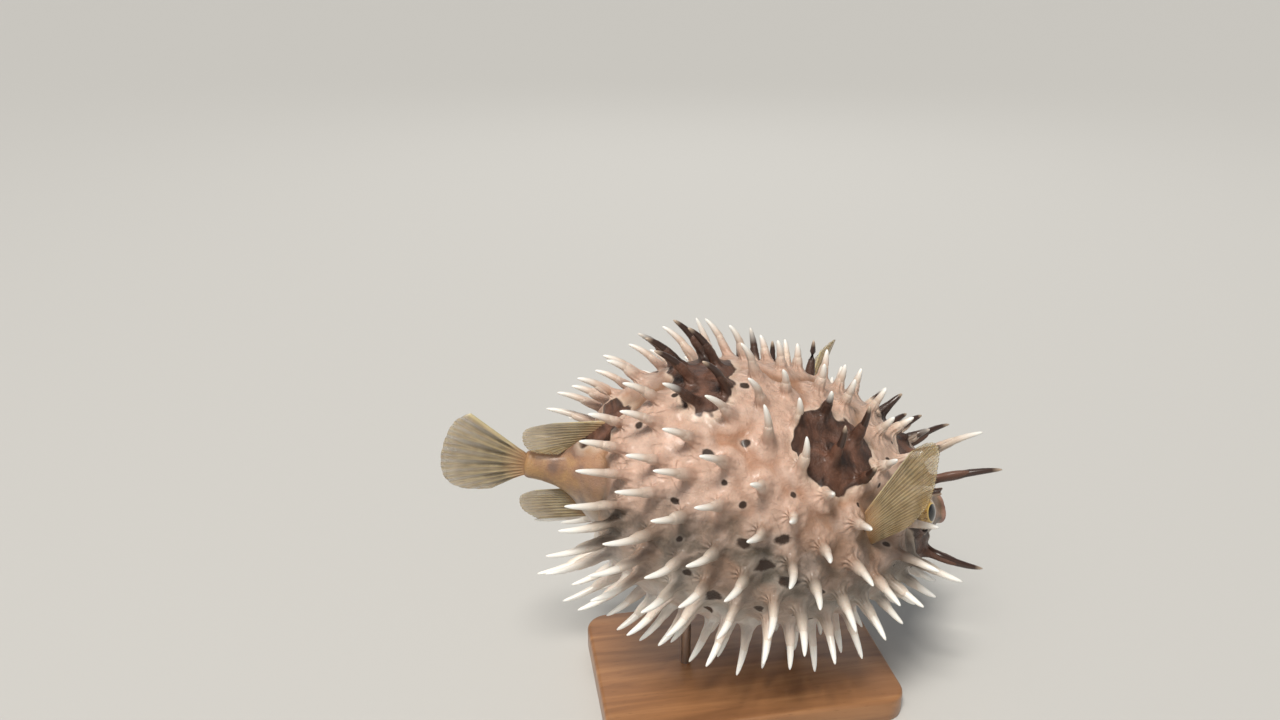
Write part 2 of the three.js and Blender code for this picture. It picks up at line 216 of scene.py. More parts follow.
# What spines keep clear of, in mm.
EYE_GAP, ROD_GAP, FIN_ROOT_GAP, FIN_GAP, FIN_TO_SPINE_GAP = 8, 9, 15, 9, 5.5
TAIL_FROM = -92  # the tail has no spines behind this
BACK_FIN_FROM, BACK_FIN_HALF_WIDTH = -66, 12
COLUMNS = 2 * SPINES_PER_RING
PATCH_ANGLE = 2 * math.pi / COLUMNS

PECTORAL_BASE = np.array([(45, 57.7, 22), (49, 59.3, 12.5), (55, 58.4, 4)])
PECTORAL_EDGE = np.array([
    (54.5, 69, 65.3), (62.5, 74, 73), (60, 82, 63.5), (57.4, 88, 53.6), (55.3, 90, 42.7),
    (53.9, 85, 29.1),
])


def blade_point(base, edge, u, v):
    """A point of a fin: u from its foot line to its free edge, v along them."""
    start = Vector(along(base, v * (len(base) - 1)))
    return start.lerp(Vector(along(edge, v * (len(edge) - 1))), u)


def spine_at(t, angle):
    """Foot, direction and length of the spine that grows at a place on the skin."""
    root, normal = skin_point(t, angle), skin_normal(t, angle)
    # How much the place belongs to each region of the body, from 0 to 1.
    belly = smooth(20, -60, root.z)
    back = smooth(0, 40, root.z)
    rump = smooth(-35, -80, root.x)
    nape = smooth(-30, 10, root.x) * back
    throat = smooth(-12, -34, root.z)
    chin = smooth(60, 84, root.x) * throat
    face = smooth(88, 99, root.x) * (1 - throat)
    # Spines lean back on the rear half and forward on the head, and less so on the belly.
    lean = 0.75 - 0.55 * smooth(-60, 40, root.x) - 0.6 * smooth(45, 88, root.x) + 0.3 * rump
    if lean > 0:
        lean *= 1 - 0.5 * belly
    lean -= 0.5 * face * (1 - back)
    # On the shoulders they stand up more and are longer.
    upright = smooth(-30, -10, root.x) * smooth(50, 35, root.x)
    upright *= smooth(34, 44, root.z) * smooth(66, 54, root.z)
    direction = (normal + Vector((-lean, 0, 0.9 * upright))).normalized()
    # 30 mm is usual; the nape and chin have shorter ones, the forehead and rump longer ones.
    length = 30 - 11 * nape - 10 * chin + (6 + 21 * back) * face + rump * (9 - 13 * back)
    length += 8 * upright
    return {"root": root, "normal": normal, "direction": direction, "length": length}


def is_bare(spine):
    """Whether a spine would stand where the fish has none."""
    root, direction, length = spine["root"], spine["direction"], spine["length"]
    side = "right" if root.y < 0 else "left"
    if (root - eye_centre[side]).length < eye_radius + EYE_GAP:
        return True
    if root.x < TAIL_FROM or (root.x < BACK_FIN_FROM and abs(root.y) < BACK_FIN_HALF_WIDTH):
        return True
    on_floor = fish_to_floor @ (root * MM)
    for rod in ("front", "rear"):
        low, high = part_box(f"stand_rod_{rod}")
        away = math.hypot(on_floor.x - (low[0] + high[0]) / 2, on_floor.y)
        if root.z < 0 and away < ROD_GAP * MM:
            return True
    sign = Vector((1, -1 if root.y < 0 else 1, 1))
    if (root - blade_point(PECTORAL_BASE, PECTORAL_EDGE, 0, 0.5) * sign).length < FIN_ROOT_GAP:
        return True
    tenths = np.arange(0, 1.01, 0.1)
    for u in tenths:
        for v in tenths:
            blade = blade_point(PECTORAL_BASE, PECTORAL_EDGE, u, v) * sign
            if (root - blade).length < FIN_GAP:
                return True
            for reach in tenths[2:]:
                if (root + direction * (reach * length) - blade).length < FIN_TO_SPINE_GAP:
                    return True
    return False


def patch_centre(ring, j):
    """Distance and angle of the patch of skin that spine j of a ring can grow from."""
    distance = FIRST_RING + RING_SPACING * ring
    stray_along = (scatter(ring, j, 1) - 0.5) * 2 * SPINE_JITTER
    stray_round = (scatter(ring, j, 2) - 0.5) * 2 * SPINE_TURN_JITTER
    return distance + stray_along, (2 * j + ring % 2) * PATCH_ANGLE + stray_round


spines = {}
for ring in range(SPINE_RINGS):
    for j in range(SPINES_PER_RING):
        if ring == 0 and j % 2:
            continue
        distance, angle = patch_centre(ring, j)
        spine = spine_at(t_at_distance(distance), angle)
        spine["length"] *= 0.92 + 0.16 * scatter(ring, j, 3)
        if not is_bare(spine):
            spines[ring, j] = spine
print(len(spines), "spines")

# %% [markdown]
# ## The skin's cage
#
# The skin is one surface from the lips to the tail root. It is drawn out as by hand from a ring
# of vertices: the ring is extruded, set to the next cross-section, and extruded again. Inside
# the mouth it starts as a pocket, turns over the lips and runs back over the head. Two rows of
# vertices pass each ring of spines, so that every spine has a four-sided patch to rise from.

# %% Extrude the cage
MOUTH = Vector((115.6, 0, -2))
MOUTH_SECTIONS = [
    # x, half width, top, bottom, from the back of the mouth round the lips
    (109, 8.0, 0.6, -4.6),
    (117, 9.6, 2.6, -6.6),
    (121.3, 10.2, 3.2, -7.4),
    (123.2, 11.3, 4.5, -8.7),
    (123.4, 12.7, 6.0, -10.1),
    (121.8, 13.8, 7.1, -11.2),
    (119.7, 13.4, 6.8, -10.9),
]
FACE_DISTANCES = [4, 8, 13, 19]  # mm from the lips, over the flank
REAR_DISTANCES = [260, 267, 275, 283, 288, 292]


def plain_row(distance):
    """A ring of the cage with no spines in it."""
    t = t_at_distance(distance)
    return [skin_point(t, (c + 0.5) * PATCH_ANGLE) for c in range(COLUMNS)]


def ring_row(ring, edge):
    """The ring of the cage at the front (-1) or rear (1) edge of a ring of patches."""
    points = []
    for c in range(COLUMNS):
        shifted = c if ring % 2 else c + 1
        distance, angle = patch_centre(ring, shifted // 2 % SPINES_PER_RING)
        side = 1 if shifted % 2 else -1
        t = t_at_distance(distance + edge * SHEATH_FOOT / 2)
        points.append(skin_point(t, angle + side * SHEATH_SHARE * PATCH_ANGLE / 2))
    return points


rows = [
    [section_point(section, (c + 0.5) * PATCH_ANGLE) for c in range(COLUMNS)]
    for section in MOUTH_SECTIONS
]
rows += [plain_row(distance) for distance in FACE_DISTANCES]
first_ring_row = len(rows)
for ring in range(SPINE_RINGS):
    rows += [ring_row(ring, -1), ring_row(ring, 1)]
rows += [plain_row(distance) for distance in REAR_DISTANCES]


def new_piece(name, primitive, **settings):
    """Add a primitive with nothing else selected, and name it."""
    bpy.ops.object.select_all(action="DESELECT")
    primitive(**settings)
    piece = bpy.context.object
    piece.name = name
    return piece


skin = new_piece("skin", bpy.ops.mesh.primitive_circle_add, vertices=COLUMNS, radius=1)
bpy.ops.object.mode_set(mode="EDIT")
bpy.ops.mesh.select_all(action="SELECT")
bpy.ops.mesh.edge_face_add()
for row in rows[1:]:
    bpy.ops.mesh.extrude_region_move()
bpy.ops.object.mode_set(mode="OBJECT")
for index, vertex in enumerate(skin.data.vertices):
    vertex.co = rows[index // COLUMNS][index % COLUMNS]

patches = {}
for number, (ring, j) in enumerate(spines):
    row, column = first_ring_row + 2 * ring, 2 * j - (ring + 1) % 2
    corners = [r * COLUMNS + c % COLUMNS for r in (row, row + 1) for c in (column, column + 1)]
    patches[frozenset(corners)] = number
skin.data.attributes.new("spine_number", "INT", "FACE")
for polygon in skin.data.polygons:
    number = patches.get(frozenset(polygon.vertices), -1)
    skin.data.attributes["spine_number"].data[polygon.index].value = number
print("cage:", len(rows), "rings of", COLUMNS, "vertices, with", len(patches), "spine patches")

# %% [markdown]
# ## Openings for the eyes
#
# A fish has no eyelids, but its skin ends in a raised rim that hugs the eyeball. A hole is made
# by deleting the faces over the eye, and its edge is set on a circle round the eye's axis. The
# edge is then extruded: up to the crest of the rim, in to the eyeball, and down out of sight
# behind it.

# %% Eye openings
EYE_HOLE = 14.2  # radius of the opening in the skin, where the rim starts
EYE_RIM = [(12.9, 7.6), (11.6, 8.2), (10.9, 7.5), (10.6, 3.5)]  # radius and height over the centre
EYE_T = t_at_x(92)
EYE_ANGLE = math.radians(66)


def eye_axis(side):
    """The way the eye looks, square to the skin over it."""
    return skin_normal(EYE_T, EYE_ANGLE if side == "left" else -EYE_ANGLE)


def split_by_axis(point, centre, axis):
    """Height of a point along an axis, and the flat vector from the axis to the point."""
    offset = point - centre
    height = offset.dot(axis)
    return height, offset - axis * height


bpy.ops.object.mode_set(mode="EDIT")
bpy.ops.mesh.select_mode(type="VERT")
cage = bmesh.from_edit_mesh(skin.data)
whole_skin = BVHTree.FromBMesh(cage)
for side in ("left", "right"):
    centre, axis = eye_centre[side], eye_axis(side)
    bpy.ops.mesh.select_all(action="DESELECT")
    for vertex in cage.verts:
        height, flat = split_by_axis(vertex.co, centre, axis)
        vertex.select = height > 0 and flat.length < EYE_HOLE - 2
    cage.select_flush(True)
    bpy.ops.mesh.delete(type="VERT")
    cage = bmesh.from_edit_mesh(skin.data)
    rim = [v for v in cage.verts if v.is_boundary and (v.co - centre).length < 2.5 * EYE_HOLE]
    # The rim's vertices are spread evenly round the eye, on the skin.
    up = Vector((0, 0, 1)) - axis * axis.z
    sideways = axis.cross(up)
    flats = {v: split_by_axis(v.co, centre, axis)[1] for v in rim}
    rim.sort(key=lambda v: math.atan2(flats[v].dot(sideways), flats[v].dot(up)))
    turns = [math.atan2(flats[v].dot(sideways), flats[v].dot(up)) for v in rim]
    start = sum(turn - 2 * math.pi * k / len(rim) for k, turn in enumerate(turns)) / len(rim)
    for k, vertex in enumerate(rim):
        turn = 0.5 * turns[k] + 0.5 * (start + 2 * math.pi * k / len(rim))
        flat = up.normalized() * math.cos(turn) + sideways.normalized() * math.sin(turn)
        flat *= EYE_HOLE
        hit = whole_skin.ray_cast(centre + flat + axis * 60, -axis)[0]
        vertex.co = hit or vertex.co
    for radius, height in EYE_RIM:
        bpy.ops.mesh.select_all(action="DESELECT")
        for vertex in rim:
            vertex.select = True
        cage.select_flush(True)
        bpy.ops.mesh.extrude_edges_move()
        cage = bmesh.from_edit_mesh(skin.data)
        rim = [v for v in cage.verts if v.select]
        for vertex in rim:
            flat = split_by_axis(vertex.co, centre, axis)[1]
            vertex.co = centre + flat * (radius / flat.length) + axis * height
    print(side, "eye opening:", len(rim), "vertices")
bmesh.update_edit_mesh(skin.data)
bpy.ops.object.mode_set(mode="OBJECT")

# %% [markdown]
# ## Sheaths round the spines
#
# When the fish fills up, every spine stands and lifts the skin round it like a tent pole. All
# the patches are extruded at once, again and again: each time the little square on top of each
# is moved up along its own spine and drawn in, from a wide foot to a narrow sleeve. The last
# extrusion turns the sleeve's end inward, so that the spine seems to come out of it.

# %% Raise the sheaths
BOW = 0.22  # how strongly a spine bows
SHEATH_STAGES = [
    # reach along the spine, radius as a share of the last ring's or in mm; the cage is drawn
    # half as wide again as the sheath, because subdivision pulls it in
    (0.04, 0.82, None),
    (0.15, 0.68, None),
    (0.33, None, 4.8),
    (0.60, None, 3.4),
    (0.58, None, 1.4),
]


def spine_axis(spine, reach):
    """A point of the spine's middle line; reach is 0 at the skin and 1 at the tip."""
    tilt = spine["normal"] - spine["direction"] * spine["normal"].dot(spine["direction"])
    along_spine = spine["direction"] * reach + tilt * (BOW * 4 * reach * (1 - reach))
    return spine["root"] + along_spine * spine["length"]


spine_list = list(spines.values())
skin.data.attributes.new("reach", "FLOAT", "POINT")
skin.data.attributes.new("home", "FLOAT_VECTOR", "POINT")
for vertex, home in zip(skin.data.vertices, skin.data.attributes["home"].data):
    home.vector = vertex.co

bpy.ops.object.mode_set(mode="EDIT")
bpy.ops.mesh.select_mode(type="FACE")
bpy.ops.mesh.select_all(action="DESELECT")
cage = bmesh.from_edit_mesh(skin.data)
number_layer = cage.faces.layers.int["spine_number"]
for face in cage.faces:
    face.select = face[number_layer] >= 0
for reach, share, radius in SHEATH_STAGES:
    bpy.ops.mesh.extrude_region_move()
    cage = bmesh.from_edit_mesh(skin.data)
    number_layer = cage.faces.layers.int["spine_number"]
    reach_layer = cage.verts.layers.float["reach"]
    home_layer = cage.verts.layers.float_vector["home"]
    for face in cage.faces:
        if not face.select:
            continue
        spine = spine_list[face[number_layer]]
        middle = face.calc_center_median()
        for vertex in face.verts:
            flat = vertex.co - middle
            flat -= spine["direction"] * flat.dot(spine["direction"])
            size = radius or flat.length * share
            vertex.co = spine_axis(spine, reach) + flat * (size / flat.length)
            vertex[reach_layer] = reach
            vertex[home_layer] = vertex[home_layer].lerp(spine["root"], 0.4)
bmesh.update_edit_mesh(skin.data)
print("cage faces with sheaths:", len(cage.faces))

# %% [markdown]
# ## Nostrils
#
# Each nostril of a porcupinefish is a short tube of skin between the eye and the lips, open at
# its end. One face of the cage on each side is drawn out into the tube, then back in to hollow
# its end.

# %% Nostrils
NOSTRIL_T = t_at_x(106)
NOSTRIL_ANGLE = math.radians(44)
NOSTRIL_STAGES = [(0.8, 4.6), (2.8, 3.7), (5.4, 3.9), (5.6, 2.7), (3.0, 1.8)]  # height and radius

bpy.ops.mesh.select_all(action="DESELECT")
nostrils = []
for way in (1, -1):
    root = skin_point(NOSTRIL_T, way * NOSTRIL_ANGLE)
    face = min(cage.faces, key=lambda f: (f.calc_center_median() - root).length)
    face.select = True
    nostrils.append((face.calc_center_median(), skin_normal(NOSTRIL_T, way * NOSTRIL_ANGLE)))
for height, radius in NOSTRIL_STAGES:
    bpy.ops.mesh.extrude_region_move()
    cage = bmesh.from_edit_mesh(skin.data)
    for face in cage.faces:
        if not face.select:
            continue
        root, axis = nostrils[0 if face.calc_center_median().y > 0 else 1]
        for vertex in face.verts:
            flat = split_by_axis(vertex.co, root, axis)[1]
            vertex.co = root + axis * height + flat * (radius / flat.length)
bmesh.update_edit_mesh(skin.data)


def face_outwards():
    """Turn the faces of the mesh in edit mode outwards, and leave edit mode."""
    bpy.ops.mesh.select_all(action="SELECT")
    bpy.ops.mesh.normals_make_consistent(inside=False)
    bpy.ops.object.mode_set(mode="OBJECT")


face_outwards()
for polygon in skin.data.polygons:
    polygon.use_smooth = True
print("nostrils at", [tuple(round(c) for c in root) for root, axis in nostrils])

# %% [markdown]
# ## Smooth the skin
#
# Two rounds of subdivision turn the cage into a smooth skin, and a soft displacement takes away
# the last of its regularity, as the water inside never fills the skin evenly.

# %% Subdivide the skin
def apply_modifier(item, kind, **settings):
    """Put a modifier on an object and apply it at once."""
    bpy.ops.object.select_all(action="DESELECT")
    bpy.context.view_layer.objects.active = item
    item.select_set(True)
    modifier = item.modifiers.new(kind.lower(), kind)
    for setting, value in settings.items():
        setattr(modifier, setting, value)
    bpy.ops.object.modifier_apply(modifier=modifier.name)


apply_modifier(skin, "SUBSURF", levels=2, render_levels=2)
unevenness = bpy.data.textures.new("unevenness", "CLOUDS")
unevenness.noise_scale = 14
apply_modifier(skin, "DISPLACE", texture=unevenness, strength=1.6, mid_level=0.5)
print("skin:", len(skin.data.polygons), "faces")

# %% [markdown]
# ## Skin drawn up like a tent
#
# Between two neighbouring spines the skin hangs in a ridge, and it sags in the middle of three.
# A field that is high near every spine's foot and adds up between neighbours has just that
# shape. Each vertex is pushed out where the field is high and in where it is low, less and less
# towards the eyes and the mouth. It keeps the field as an attribute for the colour.

# %% Tent relief
TENT_HEIGHT = 5.4
TENT_FOOT = 8.0  # how far from a spine the field starts to fall
TENT_FADE = 3.5
TENT_TOP = 1.2  # where many ridges meet, they pile up no further
TENT_REACH = 0.4  # the relief dies out up the sheath, by this share of the spine
SAG = 3.4


def read_points(mesh, name=None):
    """A mesh's points, or one of its attributes, as rows of three numbers."""
    values = np.empty(len(mesh.vertices) * 3, np.float32)
    if name:
        mesh.attributes[name].data.foreach_get("vector", values)
    else:
        mesh.vertices.foreach_get("co", values)
    return values.reshape(-1, 3)


def write_attribute(mesh, name, kind, values, domain="POINT"):
    """Set an attribute of a mesh, new or not, from rows of numbers."""
    layer = mesh.attributes.get(name) or mesh.attributes.new(name, kind, domain)
    layer.data.foreach_set("vector" if kind == "FLOAT_VECTOR" else "value", np.ravel(values))


section_steps = np.linspace(0, len(BODY_SECTIONS) - 1, 601)
section_table = np.array([along(BODY_SECTIONS, t) for t in section_steps])


def place_on_body(points):
    """For rows of skin points: the section there, its slope, and the angle from the top."""
    t = np.interp(-points[:, 0], -flank_points[:, 0], flank_t)
    slopes = np.gradient(section_table, section_steps, axis=0)
    section = np.stack([np.interp(t, section_steps, c) for c in section_table.T], 1)
    slope = np.stack([np.interp(t, section_steps, c) for c in slopes.T], 1)
    middle, half = (section[:, 2] + section[:, 3]) / 2, (section[:, 2] - section[:, 3]) / 2
    angle = np.arctan2(points[:, 1] / section[:, 1], (points[:, 2] - middle) / half)
    return section, slope, angle


def outward_from(points):
    """The body's outward direction for rows of skin points."""
    section, slope, angle = place_on_body(points)
    sine, cosine = np.sin(angle), np.cos(angle)
    half = (section[:, 2] - section[:, 3]) / 2
    around = np.stack([0 * sine, section[:, 1] * cosine, -half * sine], 1)
    middle_slope = (slope[:, 2] + slope[:, 3]) / 2 + (slope[:, 2] - slope[:, 3]) / 2 * cosine
    lengthwise = np.stack([slope[:, 0], slope[:, 1] * sine, middle_slope], 1)
    outward = np.cross(around, lengthwise)
    return outward / np.linalg.norm(outward, axis=1)[:, None]


home = read_points(skin.data, "home")
tent = np.zeros(len(home))
for spine in spine_list:
    away = np.linalg.norm(home - np.array(spine["root"]), axis=1)
    tent += np.exp(-np.maximum(away - TENT_FOOT, 0) / TENT_FADE)
tent = np.minimum(tent, TENT_TOP)
reach = np.empty(len(home), np.float32)
skin.data.attributes["reach"].data.foreach_get("value", reach)
clear = np.ones(len(home))
# Each opening's middle, the radius with no relief round it, and how far on it is whole.
for middle, radius, fade in [*((eye_centre[side], 15, 8) for side in eye_centre), (MOUTH, 13, 24)]:
    clear = np.minimum(clear, (np.linalg.norm(home - np.array(middle), axis=1) - radius) / fade)
push = TENT_HEIGHT * tent - SAG * np.clip(tent * 4, 0, 1)
push *= np.clip((TENT_REACH - reach) / 0.38, 0, 1) * np.clip(clear, 0, 1)
points = read_points(skin.data) + outward_from(home) * push[:, None]
skin.data.vertices.foreach_set("co", np.ravel(points))
write_attribute(skin.data, "tent", "FLOAT", tent)
print("tent field from", round(float(tent.min()), 2), "to", round(float(tent.max()), 2))

# %% [markdown]
# ## Where the markings lie
#
# The brown blotches and spots are drawn by the skin's material, but where they lie is worked out
# here. Each vertex keeps how far inside or outside a blotch's edge it is, in millimetres. A spot
# is finer than the mesh, so each face keeps the middle and size of the spot nearest to it. A
# sheath takes the marking of the skin it was lifted from, so all is judged by a vertex's home,
# the place it had on the bare skin. The spines are judged the same way later. The last attribute,
# for the folds, says where round its spine a vertex lies, and how far from it.

# %% Markings
BLOTCHES = [
    # x, degrees from the top, radius along and round the body; each is on both flanks
    (23, 42, 24, 22),
    (-41, 0, 17, 34),
    (-90, 0, 10.5, 16),
    (77, 0, 11, 14),
    (80, 25, 10, 14),
    (85, 45, 8, 12),
    (91, 66, 9, 16),
    (94, 92, 6, 14),
    (98, 109, 7.5, 11),
    (98.5, 31, 4.5, 7),
]
SPOTS = [
    # the same, for the small ones
    (-71.6, 40, 2.1, 2), (-57, 43, 1.8, 1.8), (-18.7, 27, 2.3, 2), (-43.1, 52.5, 2.6, 2.2),
    (-24.7, 46, 2.5, 2.3), (-34.5, 60.5, 2, 1.7), (-28, 73, 2.3, 1.9), (-0.2, 68, 1.8, 1.8),
    (38.7, 65, 1.4, 1.3), (-4.2, 79, 4.6, 2.9), (-22, 87, 3.5, 2.8), (-14, 97.5, 5, 3.3),
    (7, 97.8, 5.6, 3.8), (-20.7, 118.5, 4.4, 3.5), (-0.8, 122, 2.4, 2), (62, 84, 1.4, 1.3),
    (55, 100, 1.3, 1.2), (70, 98, 1.2, 1.1), (48, 118, 1.6, 1.3), (29, 108, 1.8, 1.5),
    (-52, 96, 2.2, 1.8), (-44, 112, 3, 2.2), (-62, 74, 1.8, 1.6), (20, 128, 2.8, 2.2),
    (-24, 138, 3, 2.6), (36, 134, 2.2, 1.8), (60, 40, 1.4, 1.3), (66, 30, 1.2, 1.1),
    (52, 48, 1.3, 1.2), (47, 74, 1.4, 1.2), (-60, 24, 1.7, 1.6), (4, 16, 1.7, 1.5),
    (97, 24, 1.2, 1.2), (104, 76, 1, 1), (108, 58, 0.9, 0.9), (103, 12, 1, 1), (99, 118, 1.1, 1.1),
    (111, 30, 0.8, 0.8),
]


def girth_place(points):
    """Degrees from the top of the body, for rows of fish coordinates, and the body's radius."""
    section, slope, angle = place_on_body(points)
    return np.degrees(angle), (section[:, 1] + (section[:, 2] - section[:, 3]) / 2) / 2


spine_feet = kdtree.KDTree(len(spine_list))
for number, spine in enumerate(spine_list):
    spine_feet.insert(spine["root"], number)
spine_feet.balance()


SHEATH_CLEARANCE = 7.5  # mm from a spine's foot to the edge of a spot


def beside_spines(x, angle, size_along, size_round):
    """A spot's middle, moved along the skin until it lies beside the sheaths, and its size."""
    for _ in range(8):
        place = skin_point(t_at_x(x), math.radians(angle))
        root, number, distance = spine_feet.find(place)
        gap = SHEATH_CLEARANCE + max(size_along, size_round)
        if distance >= gap:
            break
        place += (place - root) * (gap / distance - 1)
        x, angle = place.x, float(girth_place(np.array([place]))[0][0])
    return place, (size_along, size_round, size_round)


def on_both_flanks(marks):
    """The marks, then their mirror images on the other side."""
    return [(x, side * angle, a, b) for side in (1, -1) for x, angle, a, b in marks]


blotches = on_both_flanks(BLOTCHES)
spots = [beside_spines(*spot) for spot in on_both_flanks(SPOTS)]


def distances(points, marks):
    """For each mark in turn, how far outside its edge each point lies, in mm."""
    degrees, radius = girth_place(points)
    for x, angle, size_along, size_round in marks:
        step_along = (points[:, 0] - x) / size_along
        step_round = np.radians(degrees - angle) * radius / size_round
        yield (np.hypot(step_along, step_round) - 1) * min(size_along, size_round)


def write_markings(mesh, home):
    """Write all that the skin's colour reads, for each vertex or face of a mesh."""
    blotch = np.full(len(home), 99.0)
    for outside in distances(home, blotches):
        blotch = np.minimum(blotch, outside)
    write_attribute(mesh, "blotch", "FLOAT", blotch)
    # The material works out how far every point of a face lies from its spot's middle.
    corners = np.empty(len(mesh.loops), np.int32)
    mesh.loops.foreach_get("vertex_index", corners)
    starts = np.empty(len(mesh.polygons), np.int32)
    mesh.polygons.foreach_get("loop_start", starts)
    face_home = home[corners[starts]]
    gap = np.full(len(starts), 1e3)
    middle, size = np.zeros((len(starts), 3)), np.ones((len(starts), 3))
    for spot_middle, spot_size in spots:
        away = np.linalg.norm(face_home - np.array(spot_middle), axis=1) - max(spot_size)
        closer = away < gap
        gap[closer], middle[closer], size[closer] = away[closer], spot_middle, spot_size
    write_attribute(mesh, "spot_middle", "FLOAT_VECTOR", middle, "FACE")
    write_attribute(mesh, "spot_size", "FLOAT_VECTOR", size, "FACE")
    write_attribute(mesh, "girth", "FLOAT", np.abs(girth_place(home)[0]) / 180)
    write_attribute(mesh, "home", "FLOAT_VECTOR", home)


write_markings(skin.data, read_points(skin.data, "home"))

folds = []
for point in read_points(skin.data):
    root, number, distance = spine_feet.find(point)
    spine = spine_list[number]
    flat = split_by_axis(Vector(point), root, spine["direction"])[1]
    sideways = spine["direction"].cross(Vector((1, 0, 0))).normalized()
    folds.append((flat.dot(sideways), flat.dot(spine["direction"].cross(sideways)), distance))
write_attribute(skin.data, "fold", "FLOAT_VECTOR", np.array(folds))
skin.data.transform(millimetres_to_floor)
print("blotches reach", len(BLOTCHES), "places and spots", len(SPOTS), "on each flank")

# %% [markdown]
# ## Tools for the finishes
#
# A material in Blender is a small graph of nodes. One function adds a node and joins it to the
# others, one turns the colours into what shaders read, and one starts a material. A node's
# inputs come by name or number, or as a list in the order of its sockets: for MapRange the
# value, the range it comes from and the range it goes to.

# %% Material tools
def linear(hex_colour):
    """An sRGB colour such as #c8a06e as the linear red, green, blue and alpha of a shader."""
    channels = [int(hex_colour[i : i + 2], 16) / 255 for i in (1, 3, 5)]
    curve = [c / 12.92 if c < 0.04045 else ((c + 0.055) / 1.055) ** 2.4 for c in channels]
    return (*curve, 1)


def add(tree, kind, inputs=(), stops=(), output=0, **settings):
    """Add a node, set it, fill or join its inputs, and return one of its outputs."""
    node = tree.nodes.new("ShaderNode" + kind)
    for setting, value in settings.items():
        setattr(node, setting, value)
    for place, value in inputs.items() if isinstance(inputs, dict) else enumerate(inputs):
        if isinstance(value, bpy.types.NodeSocket):
            tree.links.new(value, node.inputs[place])
        else:
            node.inputs[place].default_value = linear(value) if isinstance(value, str) else value
    while stops and len(node.color_ramp.elements) < len(stops):
        node.color_ramp.elements.new(0.5)
    for k, (position, colour) in enumerate(stops):
        node.color_ramp.elements[k].position = position
        node.color_ramp.elements[k].color = linear(colour)
    return node.outputs[output]


# For a Mix of two colours: its input 0 is the share of the second, and 6 and 7 are the colours.
COLOURS = {"data_type": "RGBA", "output": 2}


def start_material(name, **shader):
    """A new material and its shader, with the values that are the same all over."""
    material = bpy.data.materials.new(name)
    material.use_nodes = True
    surface = material.node_tree.nodes["Principled BSDF"]
    for socket, value in shader.items():
        socket = socket.replace("_", " ")
        surface.inputs[socket].default_value = linear(value) if isinstance(value, str) else value
    return material, material.node_tree, surface


def per_mm(size):
    """The Scale of a pattern whose repeat is this many millimetres, on metre coordinates."""
    return 1000 / size
